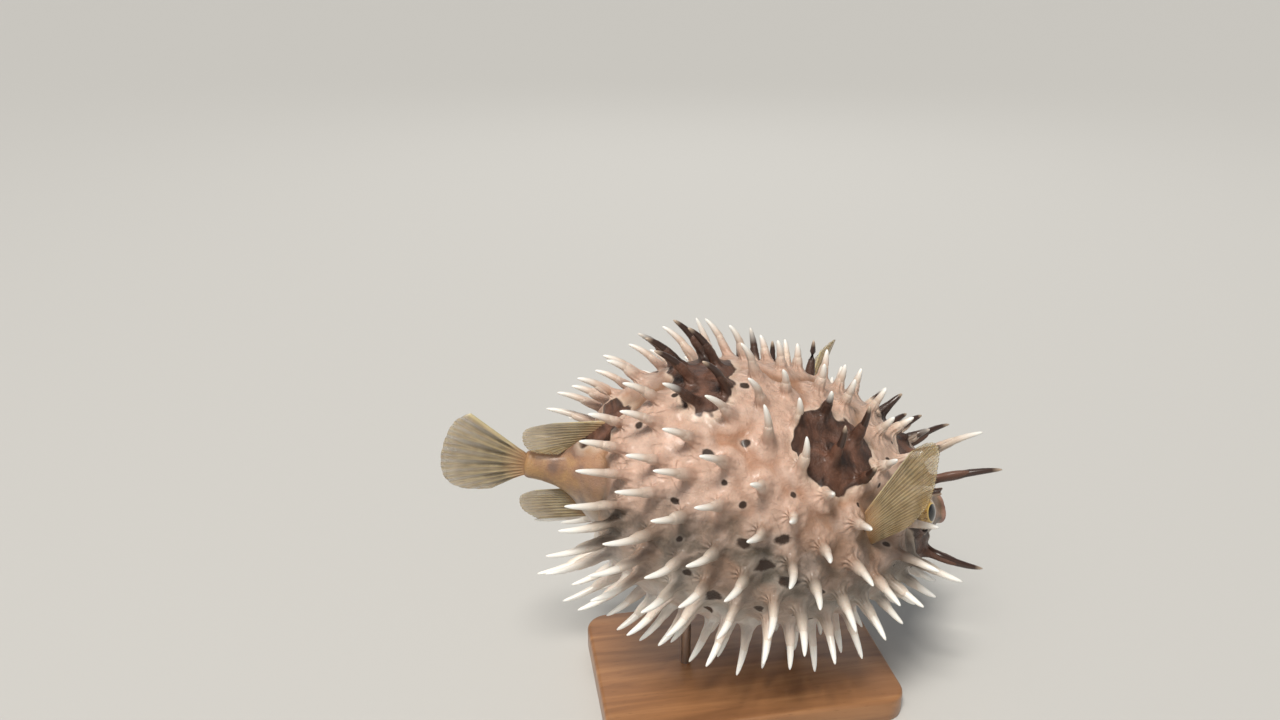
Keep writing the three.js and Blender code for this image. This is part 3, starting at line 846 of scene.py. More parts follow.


# %% [markdown]
# ## The skin's finish
#
# The skin of a porcupinefish has no scales but its spines. It is leathery and wet: warm tan on the
# back, pinkish on the flanks, grey-brown below that and white on the belly; the grey-brown band is
# painted darker than the skin is, as painted shade from a light above. Blotches are dark brown with
# a ragged, pale-edged outline. Stretched skin makes fine folds that run out from each spine, drawn
# here as bump with a grain. The skin that sinks between the spines is painted darker and duller, as
# painted shade, and the ridges between them are painted paler, as a painted highlight. The colours
# could be painted on a picture that is wrapped round the fish. Noise and ramps on the skin's own
# attributes are used instead, because they are sharp at any distance.

# %% Fish skin
def skin_colour(tree):
    """The colour of the skin with its blotches and spots, painted shade between the spines and on
    the lower flank, and painted highlights on the ridges.
    """
    girth, reach, tent, inside = (
        add(tree, "Attribute", attribute_name=name, output="Fac")
        for name in ("girth", "reach", "tent", "blotch")
    )
    home, middle, size = (
        add(tree, "Attribute", attribute_name=name, output="Vector")
        for name in ("home", "spot_middle", "spot_size")
    )

    # From tan on the back to white on the belly, with a soft, cloudy border; the dark grey-brown
    # band on the lower flank between them is painted shade, as under a light from above. The home
    # is in millimetres, so the Scale of a noise is one over the size of its clouds.
    clouds = add(tree, "TexNoise", {"Vector": home, "Scale": 1 / 13, "Detail": 4.0})
    shift = add(tree, "Math", [clouds, 0.5], operation="SUBTRACT")
    height = add(tree, "Math", [shift, 0.2, girth], operation="MULTIPLY_ADD")
    bare = add(tree, "ValToRGB", [height], stops=[
        (0.0, "#9c745a"), (0.2, "#b2876e"), (0.35, "#b48c75"), (0.43, "#9a806f"),
        (0.51, "#62574b"), (0.58, "#6f665b"), (0.68, "#aaa298"), (0.8, "#e2ddd6"),
    ])
    warm = add(tree, "TexNoise", {"Vector": home, "Scale": 1 / 26, "Detail": 2.0})
    warm = add(tree, "MapRange", [warm, 0.5, 0.62, 0.0, 0.4])
    cloudy = {"Vector": home, "Scale": 1 / 17, "Detail": 3.0, "Distortion": 0.5}
    greyed = add(tree, "TexNoise", cloudy)
    greyed = add(tree, "MapRange", [greyed, 0.52, 0.66, 0.0, 0.5])
    # The front of the back is olive. Where the skin sinks between spines it is painted darker and
    # duller, painted shade in the hollows, darkest on the lower flank.
    lengthwise = add(tree, "SeparateXYZ", [home])
    forward = add(tree, "MapRange", [lengthwise, 15.0, 85.0, 0.0, 0.65])
    upper = add(tree, "MapRange", [height, 0.5, 0.3])
    olive = add(tree, "Math", [forward, upper], operation="MULTIPLY")
    painted_hollow_shade = add(tree, "ValToRGB", [tent], stops=[
        (0.08, "#000000"), (0.3, "#c4c4c4"), (0.45, "#b0b0b0"), (0.8, "#000000"),
    ])
    hollow_shade_colour = add(tree, "ValToRGB", [height], stops=[
        (0.25, "#7f6049"), (0.45, "#584c3c"), (0.58, "#584f41"), (0.78, "#9a9084"),
    ])
    # The ridges between spines are painted paler, a painted highlight, most of all on the upper
    # flank that faces the light.
    ridge_highlight_strength = add(tree, "MapRange", [height, 0.36, 0.5, 0.55, 0.1])
    painted_ridge_highlight = add(tree, "MapRange", [tent, 0.85, 1.15, 0.0, ridge_highlight_strength])
    tints = [
        (warm, "#a3775a"), (greyed, "#b3a095"), (olive, "#8b7455"), (painted_hollow_shade, hollow_shade_colour),
        (painted_ridge_highlight, "#dcbfae"),
    ]
    for share, tint in tints:
        bare = add(tree, "Mix", {0: share, 6: bare, 7: tint}, **COLOURS)
    fine = {"Vector": home, "Scale": 1 / 6, "Detail": 6.0, "Roughness": 0.6}
    freckles = add(tree, "TexNoise", fine)
    freckles = add(tree, "MapRange", [freckles, 0.32, 0.68, 0.82, 1.08])
    bare = add(tree, "VectorMath", {0: bare, "Scale": freckles}, operation="SCALE")
    # The tail root is browner, with a yellow tinge on top.
    tail = add(tree, "MapRange", [lengthwise, -84.0, -108.0, 0.0, 0.9])
    tail_tone = add(tree, "ValToRGB", [clouds], stops=[
        (0.38, "#735a4c"), (0.48, "#936f52"), (0.6, "#a78258"),
    ])
    # The lips are pinker than the face.
    lips = add(tree, "MapRange", [lengthwise, 119.4, 121.2, 0.0, 0.6])
    # Up the sheath the skin is stretched thin, and the pale spine shows through it.
    paler = add(tree, "MapRange", [girth, 0.38, 0.6, 0.7, 0.95])
    thin = add(tree, "MapRange", [reach, 0.18, 0.68, 0.0, paler])

    # Blotches: a ragged brown patch with a pale border.
    ragged = add(tree, "TexNoise", {"Vector": home, "Scale": 1 / 13, "Detail": 2.0})
    ragged = add(tree, "Math", [ragged, 0.5], operation="SUBTRACT")
    edge = add(tree, "Math", [ragged, 14.0, inside], operation="MULTIPLY_ADD")
    blotch = add(tree, "MapRange", [edge, 0.7, -0.5], interpolation_type="SMOOTHSTEP")
    border = add(tree, "MapRange", [edge, 4.0, 0.5, 0.0, 0.4])
    tints = [(tail, tail_tone), (lips, "#b5877a"), (thin, "#e6d9cb"), (border, "#e8d6c2")]
    for share, tint in tints:
        bare = add(tree, "Mix", {0: share, 6: bare, 7: tint}, **COLOURS)
    swirled = {"Vector": home, "Scale": 1 / 11, "Detail": 3.0, "Distortion": 0.8}
    mottle = add(tree, "TexNoise", swirled)
    brown = add(tree, "ValToRGB", [mottle], stops=[
        (0.35, "#38261e"), (0.5, "#583c2f"), (0.68, "#735040"),
    ])
    rim = add(tree, "MapRange", [edge, -4.0, -0.5, 0.0, 0.7])
    brown = add(tree, "Mix", {0: rim, 6: brown, 7: "#35241c"}, **COLOURS)
    marked = add(tree, "Mix", {0: blotch, 6: bare, 7: brown}, **COLOURS)

    # Spots: small, dark and almost round, each in a faint pale ring.
    offset = add(tree, "VectorMath", [home, middle], operation="SUBTRACT")
    offset = add(tree, "VectorMath", [offset, size], operation="DIVIDE")
    away = add(tree, "VectorMath", [offset], operation="LENGTH", output="Value")
    wobble = add(tree, "TexNoise", {"Vector": home, "Scale": 1 / 3, "Detail": 2.0})
    away = add(tree, "Math", [wobble, 0.8, away], operation="MULTIPLY_ADD")
    ring = add(tree, "MapRange", [away, 2.3, 1.6, 0.0, 0.12])
    marked = add(tree, "Mix", {0: ring, 6: marked, 7: "#efe2d6"}, **COLOURS)
    spot = add(tree, "MapRange", [away, 1.65, 1.1], interpolation_type="SMOOTHSTEP")
    return add(tree, "Mix", {0: spot, 6: marked, 7: "#39291f"}, **COLOURS)


# Soft leathery skin under a film of water: broad, gentle glints, and a little light goes into it.
wet_skin, tree, surface = start_material(
    "wet_fish_skin", Roughness=0.45, IOR=1.4, Coat_Weight=0.2, Coat_Roughness=0.24,
    Subsurface_Weight=0.1, Subsurface_Scale=0.004, Subsurface_Radius=(1.0, 0.5, 0.3),
)
colour = skin_colour(tree)
tree.links.new(colour, surface.inputs["Base Color"])
fold = add(tree, "Attribute", attribute_name="fold", output="Vector")
fold_x, fold_y, from_spine = (add(tree, "SeparateXYZ", [fold], output=n) for n in range(3))
turn = add(tree, "Math", [fold_x, fold_y], operation="ARCTAN2")
where = add(tree, "TexCoord", output="Object")
stray = add(tree, "TexNoise", {"Vector": where, "Scale": per_mm(9), "Detail": 2.0})
stray = add(tree, "Math", [stray, 4.0], operation="MULTIPLY")
waves = add(tree, "Math", [turn, 9.0, stray], operation="MULTIPLY_ADD")
pleats = add(tree, "Math", [waves], operation="SINE")
near = add(tree, "MapRange", [from_spine, 11.0, 4.5])
pleats = add(tree, "Math", [pleats, near], operation="MULTIPLY")
# Real pores are finer than this, and are drawn as coarse as they need to be to show.
grainy = {"Vector": where, "Scale": per_mm(1.2), "Detail": 4.0, "Roughness": 0.65}
pores = add(tree, "TexNoise", grainy)
bent = {"Vector": where, "Scale": per_mm(9), "Detail": 2.0, "Distortion": 1.0}
creases = add(tree, "TexNoise", bent)
relief = add(tree, "Math", [pleats, 0.5, pores], operation="MULTIPLY_ADD")
relief = add(tree, "Math", [creases, 1.0, relief], operation="MULTIPLY_ADD")
bump = add(tree, "Bump", {"Height": relief, "Distance": 0.001, "Strength": 0.7})
tree.links.new(bump, surface.inputs["Normal"])
skin.data.materials.append(wet_skin)

# %% [markdown]
# ## Spines
#
# Each spine is a hard, ivory, round-tipped thorn, two to four centimetres long. It is modelled
# once: an eight-sided ring drawn out six times along a gentle taper. Every copy is then set on
# the middle line of its own place, so that it bows with the sheath round it.

# %% One spine, copied
SPINE_PROFILE = [
    # reach, radius in mm
    (0.10, 2.2), (0.35, 2.35), (0.58, 2.15), (0.76, 1.75), (0.89, 1.3), (0.96, 0.85), (1.0, 0.35),
]
SPINE_SIDES = 8

pattern_spine = new_piece(
    "pattern_spine", bpy.ops.mesh.primitive_circle_add,
    vertices=SPINE_SIDES, radius=SPINE_PROFILE[0][1], fill_type="NGON",
)
bpy.ops.object.mode_set(mode="EDIT")
bpy.ops.mesh.select_all(action="SELECT")
for (reach, radius), (next_reach, next_radius) in zip(SPINE_PROFILE, SPINE_PROFILE[1:]):
    bpy.ops.mesh.extrude_region_move(TRANSFORM_OT_translate={"value": (0, 0, next_reach - reach)})
    share = next_radius / radius
    bpy.ops.transform.resize(value=(share, share, 1))
face_outwards()
bpy.ops.object.shade_smooth()
pattern_spine.data.attributes.new("reach", "FLOAT", "POINT")
pattern = read_points(pattern_spine.data)
pattern[:, 2] += SPINE_PROFILE[0][0] - pattern[:, 2].min()

copies = []
for spine in spine_list:
    copy = pattern_spine.copy()
    copy.data = pattern_spine.data.copy()
    bpy.context.collection.objects.link(copy)
    placed = []
    for x, y, reach in pattern.tolist():
        ahead = (spine_axis(spine, reach + 0.01) - spine_axis(spine, reach - 0.01)).normalized()
        sideways = ahead.cross(Vector((0, 0.3, 1))).normalized()
        placed.append(spine_axis(spine, reach) + sideways * x + ahead.cross(sideways) * y)
    copy.data.vertices.foreach_set("co", np.ravel(placed))
    write_attribute(copy.data, "reach", "FLOAT", pattern[:, 2])
    write_attribute(copy.data, "home", "FLOAT_VECTOR", [spine["root"][:]] * len(pattern))
    copies.append(copy)
bpy.data.objects.remove(pattern_spine)
bpy.ops.object.select_all(action="DESELECT")
for copy in copies:
    copy.select_set(True)
bpy.context.view_layer.objects.active = copies[0]
bpy.ops.object.join()
spine_coat = bpy.context.object
spine_coat.name = "spines"
write_markings(spine_coat.data, read_points(spine_coat.data, "home"))
spine_coat.data.transform(millimetres_to_floor)
bpy.ops.object.mode_set(mode="EDIT")
face_outwards()
print("spines:", len(copies), "with", len(spine_coat.data.polygons), "faces")

# %% [markdown]
# ## The spines' finish
#
# A spine grows out of the skin, so its foot has the skin's colour, and it turns to white ivory
# towards the tip. Those that grow from a blotch stay dark nearly to the end. The skin's own
# colour function is used again, so that the two can't disagree.

# %% Spine finish
# Wet ivory is harder and smoother than the skin: it carries a thin bright line of light.
spine_ivory, tree, surface = start_material(
    "wet_spine_ivory", Roughness=0.32, IOR=1.5, Coat_Weight=0.2, Coat_Roughness=0.15,
    Subsurface_Weight=0.1, Subsurface_Scale=0.002, Subsurface_Radius=(1.0, 0.8, 0.6),
)
reach = add(tree, "Attribute", attribute_name="reach", output="Fac")
girth = add(tree, "Attribute", attribute_name="girth", output="Fac")
# The foot takes the skin's colour, with the painted shade of the lower flank in it.
colour = skin_colour(tree)
bare_from = add(tree, "MapRange", [girth, 0.42, 0.6, 0.62, 0.42])
bare_to = add(tree, "Math", [bare_from, 0.34], operation="ADD")
towards_tip = add(tree, "MapRange", [reach, bare_from, bare_to])
pale = add(tree, "Mix", {0: towards_tip, 6: colour, 7: "#f2f0ea"}, **COLOURS)
dark_end = add(tree, "MapRange", [reach, 0.86, 1.0, 0.0, 0.8])
dark = add(tree, "Mix", {0: dark_end, 6: "#3b2820", 7: "#cdb8a2"}, **COLOURS)
inside = add(tree, "Attribute", attribute_name="blotch", output="Fac")
dark_spine = add(tree, "MapRange", [inside, -1.0, -2.0])
colour = add(tree, "Mix", {0: dark_spine, 6: pale, 7: dark}, **COLOURS)
tree.links.new(colour, surface.inputs["Base Color"])
spine_coat.data.materials.clear()
spine_coat.data.materials.append(spine_ivory)

# %% [markdown]
# ## Eyes
#
# The eye is a large glossy ball with a golden brown iris round a black pupil. A sphere of many
# rings is turned so that its pole looks along the eye's axis. Each vertex keeps its place in the
# eye's own frame, and the material reads that.

# %% Eyeballs
PUPIL = 4.9  # radius in mm
BALL_GAP = 0.15  # the ball is this much smaller than its socket

# The wet, clear front of an eye is the glossiest thing on the fish: it gives small, sharp lights.
eye_gloss, tree, surface = start_material(
    "wet_eye", Roughness=0.12, IOR=1.38, Coat_Weight=1.0, Coat_Roughness=0.02,
)
place = add(tree, "Attribute", attribute_name="eye_place", output="Vector")
radial, turn = (add(tree, "SeparateXYZ", [place], output=n) for n in range(2))
fibres = add(tree, "CombineXYZ", [turn, radial])
streaks = add(tree, "Mapping", {"Vector": fibres, "Scale": (2.2, 0.18, 1.0)})
streaks = add(tree, "TexNoise", {"Vector": streaks, "Scale": 3.0, "Detail": 5.0, "Roughness": 0.7})
flecks = add(tree, "ValToRGB", [streaks], stops=[
    (0.32, "#4d3418"), (0.46, "#8a6531"), (0.56, "#b8924e"), (0.7, "#dcc388"),
])
rim_dark = add(tree, "MapRange", [radial, 8.4, 10.6])
iris = add(tree, "Mix", {0: rim_dark, 6: flecks, 7: "#21170e"}, **COLOURS)
ring = add(tree, "MapRange", [radial, PUPIL + 0.9, PUPIL + 0.35])
iris = add(tree, "Mix", {0: ring, 6: iris, 7: "#d9b765"}, **COLOURS)
hole = add(tree, "MapRange", [radial, PUPIL + 0.2, PUPIL - 0.1])
eye_colour = add(tree, "Mix", {0: hole, 6: iris, 7: "#050708"}, **COLOURS)
tree.links.new(eye_colour, surface.inputs["Base Color"])

eyes = {}
for side in ("left", "right"):
    eye = new_piece(
        f"eyeball_{side}", bpy.ops.mesh.primitive_uv_sphere_add,
        segments=64, ring_count=48, radius=eye_radius - BALL_GAP,
    )
    bpy.ops.object.shade_smooth()
    points = read_points(eye.data)
    radial = np.hypot(points[:, 0], points[:, 1])
    turn = np.arctan2(points[:, 1], points[:, 0])
    place = np.stack([radial, np.cos(turn) * 6, np.sin(turn) * 6], 1)
    write_attribute(eye.data, "eye_place", "FLOAT_VECTOR", place)
    # The clear front of the eye stands a little proud of the ball.
    points[:, 2] += np.where(points[:, 2] > 0, 0.9 * np.exp(-((radial / 6.5) ** 2)), 0)
    eye.data.vertices.foreach_set("co", np.ravel(points))
    turned = eye_axis(side).to_track_quat("Z", "Y").to_matrix().to_4x4()
    eye.data.transform(millimetres_to_floor @ Matrix.Translation(eye_centre[side]) @ turned)
    eye.data.materials.append(eye_gloss)
    eyes[side] = eye
print("eyeballs:", [item.name for item in eyes.values()])

# %% [markdown]
# ## Beak
#
# The teeth of each jaw are fused into one hard plate, and the two plates make a beak. A sphere
# is squeezed to the mouth's shape, cut flat along the bite with bisect, and its cut edge is
# bevelled to a blunt, slightly worn lip.

# %% Beak plates
BEAK_RADII = Vector((9, 10.0, 4.9))
BITE = 0.5  # half the gap between the plates

# Enamel is dense and hard: a clear gloss over faint growth layers, paler where it is thick.
tooth, tree, surface = start_material(
    "tooth_enamel", Roughness=0.25, IOR=1.62, Coat_Weight=0.3, Coat_Roughness=0.1,
    Subsurface_Weight=0.1, Subsurface_Scale=0.002,
)
where = add(tree, "TexCoord", output="Object")
layers = add(tree, "Mapping", {"Vector": where, "Scale": (1.0, 1.0, 6.0)})
layers = add(tree, "TexNoise", {"Vector": layers, "Scale": per_mm(3), "Detail": 3.0})
worn = add(tree, "ValToRGB", [layers], stops=[(0.3, "#cbbd9d"), (0.7, "#efe8d6")])
tree.links.new(worn, surface.inputs["Base Color"])

beak = {}
for name, way in (("beak_plate_upper", 1), ("beak_plate_lower", -1)):
    sphere = bpy.ops.mesh.primitive_uv_sphere_add
    plate = new_piece(name, sphere, segments=48, ring_count=24, radius=1)
    bpy.ops.object.mode_set(mode="EDIT")
    bpy.ops.mesh.select_all(action="SELECT")
    bpy.ops.transform.resize(value=BEAK_RADII)
    bpy.ops.mesh.bisect(
        plane_co=(0, 0, way * BITE), plane_no=(0, 0, way), use_fill=True, clear_inner=True,
    )
    bpy.ops.mesh.bevel(offset=0.45, segments=3, affect="EDGES")
    face_outwards()
    bpy.ops.object.shade_smooth_by_angle(angle=math.radians(50))
    plate.data.transform(millimetres_to_floor @ Matrix.Translation(MOUTH))
    plate.data.materials.append(tooth)
    beak[name] = plate
print("beak plates:", [len(plate.data.polygons) for plate in beak.values()], "faces")

# %% [markdown]
# ## Fins
#
# A fin is a thin skin stretched over bony rays that split towards the edge. A grid gives one
# column of faces for each part of a ray, and is set between the fin's foot line and its free
# edge. Solidify gives it two faces, which are then pushed apart where the rays run.

# %% Fins
STEPS_OUTWARD = 26
STEPS_PER_RAY = 8
RAY_RIDGE = 0.45  # how far a ray stands out of the web, in mm


def make_fin(name, base, edge, rays, root_half, edge_half, camber=0):
    """A blade from its foot line to its free edge, with ridges where the rays run."""
    base, edge = np.array(base, float), np.array(edge, float)
    fin = new_piece(
        name, bpy.ops.mesh.primitive_grid_add,
        x_subdivisions=STEPS_OUTWARD, y_subdivisions=rays * STEPS_PER_RAY, size=1,
    )
    apply_modifier(fin, "SOLIDIFY", thickness=0.02, offset=0)
    places = []
    points = read_points(fin.data)
    for index, (x, y, z) in enumerate(points.tolist()):
        u, v = min(max(x + 0.5, 0), 1), min(max(y + 0.5, 0), 1)
        part = v * rays % 1
        between = abs(part - 0.5) * 2
        split = 0.42 * smooth(0.35, 0.95, u)
        width = 0.3 - 0.08 * u
        ray = math.exp(-(((between - split) / width) ** 2))
        reach = (-0.07 + 1.07 * u) * (1 - 0.008 * between * between * smooth(0.6, 1, u))
        middle = blade_point(base, edge, reach, v)
        outward = blade_point(base, edge, reach + 0.01, v)
        outward -= blade_point(base, edge, reach - 0.01, v)
        across = blade_point(base, edge, reach, min(v + 0.01, 1))
        across -= blade_point(base, edge, reach, max(v - 0.01, 0))
        facing = outward.cross(across).normalized()
        half = root_half + (edge_half - root_half) * u ** 0.6
        half += RAY_RIDGE * ray * (1 - 0.6 * u) * smooth(0, 0.12, u)
        rounding = min(1, 12 * min(v, 1 - v) + 0.15)
        bow = camber * math.sin(math.pi * v) * u
        offset = bow + half * rounding * (1 if z > 0 else -1)
        points[index] = middle + facing * offset
        places.append((u, v * rays, ray))
    fin.data.vertices.foreach_set("co", np.ravel(points))
    write_attribute(fin.data, "fin_place", "FLOAT_VECTOR", np.array(places))
    fin.data.transform(millimetres_to_floor)
    bpy.ops.object.mode_set(mode="EDIT")
    face_outwards()
    bpy.ops.object.shade_smooth()
    return fin


right = np.array((1, -1, 1))
fins = {
    "caudal_fin": make_fin(
        "tail_fin", [(-131.3, 0, 13.5), (-131.3, 0, 6.5), (-131.3, 0, -0.5)],
        [(-163, 0, 34.5), (-171, 0, 28.5), (-175, 0, 17.5), (-176, 0, 5), (-172.5, 0, -5.5),
         (-163, 0, -11), (-147, 0, -10.5)],
        10, 2.6, 0.35,
    ),
    "dorsal_fin": make_fin(
        "back_fin", [(-87, 0, 37), (-95, 0, 28.5), (-104, 0, 20.5)],
        [(-118, -2, 33.5), (-132.5, -4, 29.5), (-134, -6, 23), (-128, -8, 18), (-114, -8.5, 18)],
        13, 2.0, 0.3,
    ),
    "anal_fin": make_fin(
        "belly_fin", [(-103, 0, -7), (-96, 0, -13.5), (-88, 0, -23.5)],
        [(-122, 0, -9.5), (-130, 0, -14), (-128, 0, -22), (-118, 0, -28)], 13, 2.0, 0.3,
    ),
    "pectoral_fin_left": make_fin(
        "breast_fin_left", PECTORAL_BASE, PECTORAL_EDGE, 20, 1.9, 0.3, -4,
    ),
    "pectoral_fin_right": make_fin(
        "breast_fin_right", PECTORAL_BASE * right, PECTORAL_EDGE * right, 20, 1.9, 0.3, 4,
    ),
}
print("fins:", {item.name: len(item.data.polygons) for item in fins.values()})

# %% [markdown]
# ## The fins' finish
#
# The web between the rays is thin and wet, so light comes through it and it fades towards the
# edge, where it is thinnest. The rays are paler and denser, the first one most of all, and the
# tail fin has dark streaks between them. Each vertex kept its place on the fin, and the material
# reads how far out it is, which ray is near, and whether it lies on it.

# %% Fin finish
def fin_finish(name, streak_strength):
    """A thin, see-through fin skin with bony rays, and dark streaks in every other web."""
    # Thin wet skin gives a soft glow from the light behind it, and shows what is behind it.
    finish, tree, surface = start_material(
        name, Roughness=0.4, IOR=1.4, Coat_Weight=0.2, Coat_Roughness=0.2,
        Subsurface_Weight=0.5, Subsurface_Scale=0.004, Subsurface_Radius=(1.0, 0.75, 0.45),
    )
    place = add(tree, "Attribute", attribute_name="fin_place", output="Vector")
    outward, across, ray = (add(tree, "SeparateXYZ", [place], output=n) for n in range(3))
    where = add(tree, "TexCoord", output="Object")
    patchy = add(tree, "TexNoise", {"Vector": where, "Scale": per_mm(8), "Detail": 4.0})
    web = add(tree, "ValToRGB", [patchy], stops=[(0.35, "#8b7b5f"), (0.65, "#a69676")])
    bone = add(tree, "ValToRGB", [patchy], stops=[(0.35, "#9f8d6a"), (0.65, "#b8a786")])
    membrane = add(tree, "Mix", {0: ray, 6: web, 7: bone}, **COLOURS)

    stray = add(tree, "Math", [patchy, 3.0, -1.5], operation="MULTIPLY_ADD")
    wave = add(tree, "Math", [across, math.pi, -math.pi / 2], operation="MULTIPLY_ADD")
    wave = add(tree, "Math", [wave, stray], operation="ADD")
    wave = add(tree, "Math", [wave], operation="SINE")
    streaks = add(tree, "MapRange", [wave, 0.3, 0.95, 0.0, streak_strength])
    fade = add(tree, "ValToRGB", [outward], stops=[
        (0.08, "#000000"), (0.3, "#ffffff"), (0.5, "#dddddd"), (0.9, "#202020"),
    ])
    streaks = add(tree, "Math", [streaks, fade], operation="MULTIPLY")
    membrane = add(tree, "Mix", {0: streaks, 6: membrane, 7: "#463c2b"}, **COLOURS)
    # The first ray is the stoutest and palest, and the fin's root is as brown as the skin.
    first_ray = add(tree, "MapRange", [across, 0.8, 0.35, 0.0, 0.65])
    membrane = add(tree, "Mix", {0: first_ray, 6: membrane, 7: "#cdc09c"}, **COLOURS)
    root = add(tree, "MapRange", [outward, 0.32, 0.05])
    colour = add(tree, "Mix", {0: root, 6: membrane, 7: "#a47f5c"}, **COLOURS)
    tree.links.new(colour, surface.inputs["Base Color"])

    margin = add(tree, "MapRange", [outward, 0.3, 1.0, 0.8, 0.34])
    solid = add(tree, "MapRange", [ray, 0.0, 1.0, 0.0, 0.3])
    solid = add(tree, "Math", [solid, root], operation="MAXIMUM")
    solid = add(tree, "Math", [solid, first_ray], operation="MAXIMUM")
    alpha = add(tree, "Math", [margin, solid], operation="ADD", use_clamp=True)
    tree.links.new(alpha, surface.inputs["Alpha"])
    return finish


streaked_fin = fin_finish("wet_streaked_fin_skin", 0.85)
plain_fin = fin_finish("wet_fin_skin", 0.3)
for node, item in fins.items():
    item.data.materials.append(streaked_fin if node == "caudal_fin" else plain_fin)

# %% [markdown]
# ## Display stand
#
# The model rests on two slim steel rods over a small wooden base. A cube is stretched to the
# base's size, its upright edges are bevelled wide and its top and bottom edges are eased. The
# rods are plain cylinders from the wood up to the belly.

# %% Stand
def edges_where(item, test):
    """Select the edges of an object in edit mode that pass a test on their two ends."""
    mesh = bmesh.from_edit_mesh(item.data)
    for edge in mesh.edges:
        edge.select = test(edge.verts[0].co, edge.verts[1].co)
    mesh.select_flush_mode()
    bmesh.update_edit_mesh(item.data)


base_low, base_high = (Vector(corner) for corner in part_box("stand_base"))
base_size = base_high - base_low
base = new_piece("stand_board", bpy.ops.mesh.primitive_cube_add, size=1)
in_place = Matrix.Translation((base_low + base_high) / 2)
base.data.transform(in_place @ Matrix.Diagonal((*base_size, 1)))
bpy.ops.object.mode_set(mode="EDIT")
bpy.ops.mesh.select_mode(type="EDGE")
edges_where(base, lambda a, b: abs(a.z - b.z) > 5 * MM)
bpy.ops.mesh.bevel(offset=14 * MM, segments=12, affect="EDGES")
edges_where(base, lambda a, b: min(a.z, b.z) > base_high.z - 1 * MM)
bpy.ops.mesh.bevel(offset=2.2 * MM, segments=4, affect="EDGES")
edges_where(base, lambda a, b: max(a.z, b.z) < base_low.z + 1 * MM)
bpy.ops.mesh.bevel(offset=0.8 * MM, segments=2, affect="EDGES")
bpy.ops.object.mode_set(mode="OBJECT")
bpy.ops.object.shade_smooth_by_angle(angle=math.radians(40))

# Planed beech under sprayed satin lacquer: a long, soft figure, short dark flecks, a broad sheen.
wood, tree, surface = start_material(
    "satin_lacquered_beech", Roughness=0.4, IOR=1.5, Coat_Weight=0.3, Coat_Roughness=0.25,
)
where = add(tree, "TexCoord", output="Object")
stretched = add(tree, "Mapping", {"Vector": where, "Scale": (0.08, 1.0, 1.0)})
figured = {"Vector": stretched, "Scale": per_mm(9), "Detail": 6.0, "Distortion": 0.6}
figure = add(tree, "TexNoise", figured)
tone = add(tree, "ValToRGB", [figure], stops=[(0.3, "#7a5233"), (0.5, "#946742"), (0.7, "#a97a50")])
flecked = add(tree, "Mapping", {"Vector": where, "Scale": (0.12, 1.0, 1.0)})
flecks = add(tree, "TexNoise", {"Vector": flecked, "Scale": per_mm(0.8), "Detail": 2.0})
flecks = add(tree, "MapRange", [flecks, 0.62, 0.75, 0.0, 0.35])
tone = add(tree, "Mix", {0: flecks, 6: tone, 7: "#5d3c24"}, **COLOURS)
tree.links.new(tone, surface.inputs["Base Color"])
base.data.materials.append(wood)

# Brushing lines blur what steel mirrors, so a rod shows long pale streaks. The lines are too
# fine to draw, and the roughness stands for them.
steel, tree, surface = start_material(
    "brushed_steel", Metallic=1.0, Roughness=0.3, Base_Color="#b9bbbd",
)
ROD_RADIUS = 3 * MM
rods = {}
for end in ("front", "rear"):
    low, high = (Vector(corner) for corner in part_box(f"stand_rod_{end}"))
    rod = new_piece(
        f"stand_post_{end}", bpy.ops.mesh.primitive_cylinder_add,
        vertices=32, radius=ROD_RADIUS, depth=high.z - low.z, location=(low + high) / 2,
    )
    bpy.ops.object.transform_apply(location=True)
    bpy.ops.object.shade_smooth_by_angle(angle=math.radians(40))
    rod.data.materials.append(steel)
    rods[end] = rod
print("stand board", [round(v / MM) for v in base_size], "mm, posts", len(rods))

# %% [markdown]
# ## Floor and light
#
# A pale, plain floor and soft light show the form and colour truly. Most of it falls from
# above, from a sun whose wide disc gives soft shadows. A small panel high on the fish's right
# puts glints on it, a larger one on its left lights the edges from behind, and the world adds a
# grey that is paler at the horizon, as the walls of a studio would.

# %% Floor, lights and world
floor = new_piece("floor", bpy.ops.mesh.primitive_plane_add, size=60)
# Matt paint mirrors nothing, so the eye stays on the model.
pale, tree, surface = start_material("pale_matt_floor", Roughness=0.9, Base_Color="#c0bfbc")
floor.data.materials.append(pale)


LIGHTS_AIM = Vector((0, 0, 0.13))  # near the middle of the fish


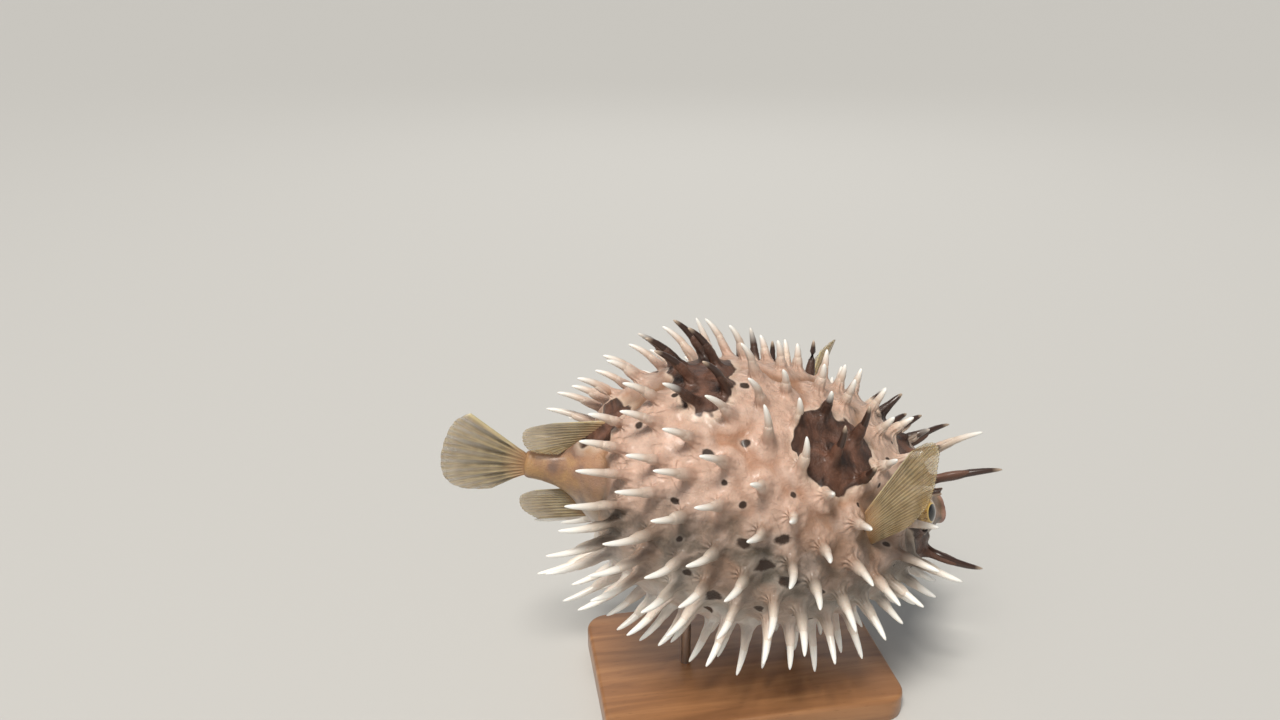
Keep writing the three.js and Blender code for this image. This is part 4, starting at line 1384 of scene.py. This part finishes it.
def add_panel(name, place, size, power, colour):
    """A square light at a place in metres, turned towards the fish."""
    bpy.ops.object.light_add(type="AREA", location=place)
    panel = bpy.context.object
    panel.name = name
    panel.data.size = size
    panel.data.energy = power
    panel.data.color = linear(colour)[:3]
    aim = LIGHTS_AIM - Vector(place)
    panel.rotation_euler = aim.to_track_quat("-Z", "Y").to_euler()


add_panel("softbox", (-0.7, -0.7, 1.2), 0.7, 3, "#fff8f0")
add_panel("back_light", (0.4, 1.7, 1.5), 1.3, 5, "#ffffff")
bpy.ops.object.light_add(type="SUN", rotation=(math.radians(24), math.radians(-18), 0))
overhead = bpy.context.object
overhead.name = "overhead_light"
overhead.data.energy = 3.2
overhead.data.angle = math.radians(14)
overhead.data.color = linear("#fffaf2")[:3]
world = bpy.data.worlds.new("studio")
bpy.context.scene.world = world
world.use_nodes = True
sky = world.node_tree
direction = add(sky, "TexCoord")
upward = add(sky, "SeparateXYZ", [direction], output=2)
shade = add(sky, "ValToRGB", [upward], stops=[
    (0.0, "#d3d1cd"), (0.12, "#c6c6c5"), (0.35, "#7d8083"),
])
sky.links.new(shade, sky.nodes["Background"].inputs["Color"])
bpy.context.scene.view_settings.view_transform = "Standard"
print("lights: two panels, one broad light overhead and the world")

# %% [markdown]
# ## Hand the pieces to the frame
#
# Each piece rides on the model's one body and takes the place of its CAD nodes.

# %% Pieces and nodes
hand_over = [
    (skin, "skin", ("head", "trunk", "tail")),
    (spine_coat, "skin", ()),
    (eyes["left"], "eye", ("eye_left",)),
    (eyes["right"], "eye", ("eye_right",)),
    (beak["beak_plate_upper"], "beak", ("beak_upper",)),
    (beak["beak_plate_lower"], "beak", ("beak_lower",)),
    (base, "base", ("stand_base",)),
    (rods["front"], "rod", ("stand_rod_front",)),
    (rods["rear"], "rod", ("stand_rod_rear",)),
    *((item, "fin", (node,)) for node, item in fins.items()),
]
for piece, slot_name, nodes in hand_over:
    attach(piece, "root")
    if nodes:
        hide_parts(*nodes)

# %% [markdown]
# ## Update the scene
#
# The view layer is updated, so that every piece stands where it was set.

# %% Finish
bpy.context.view_layer.update()
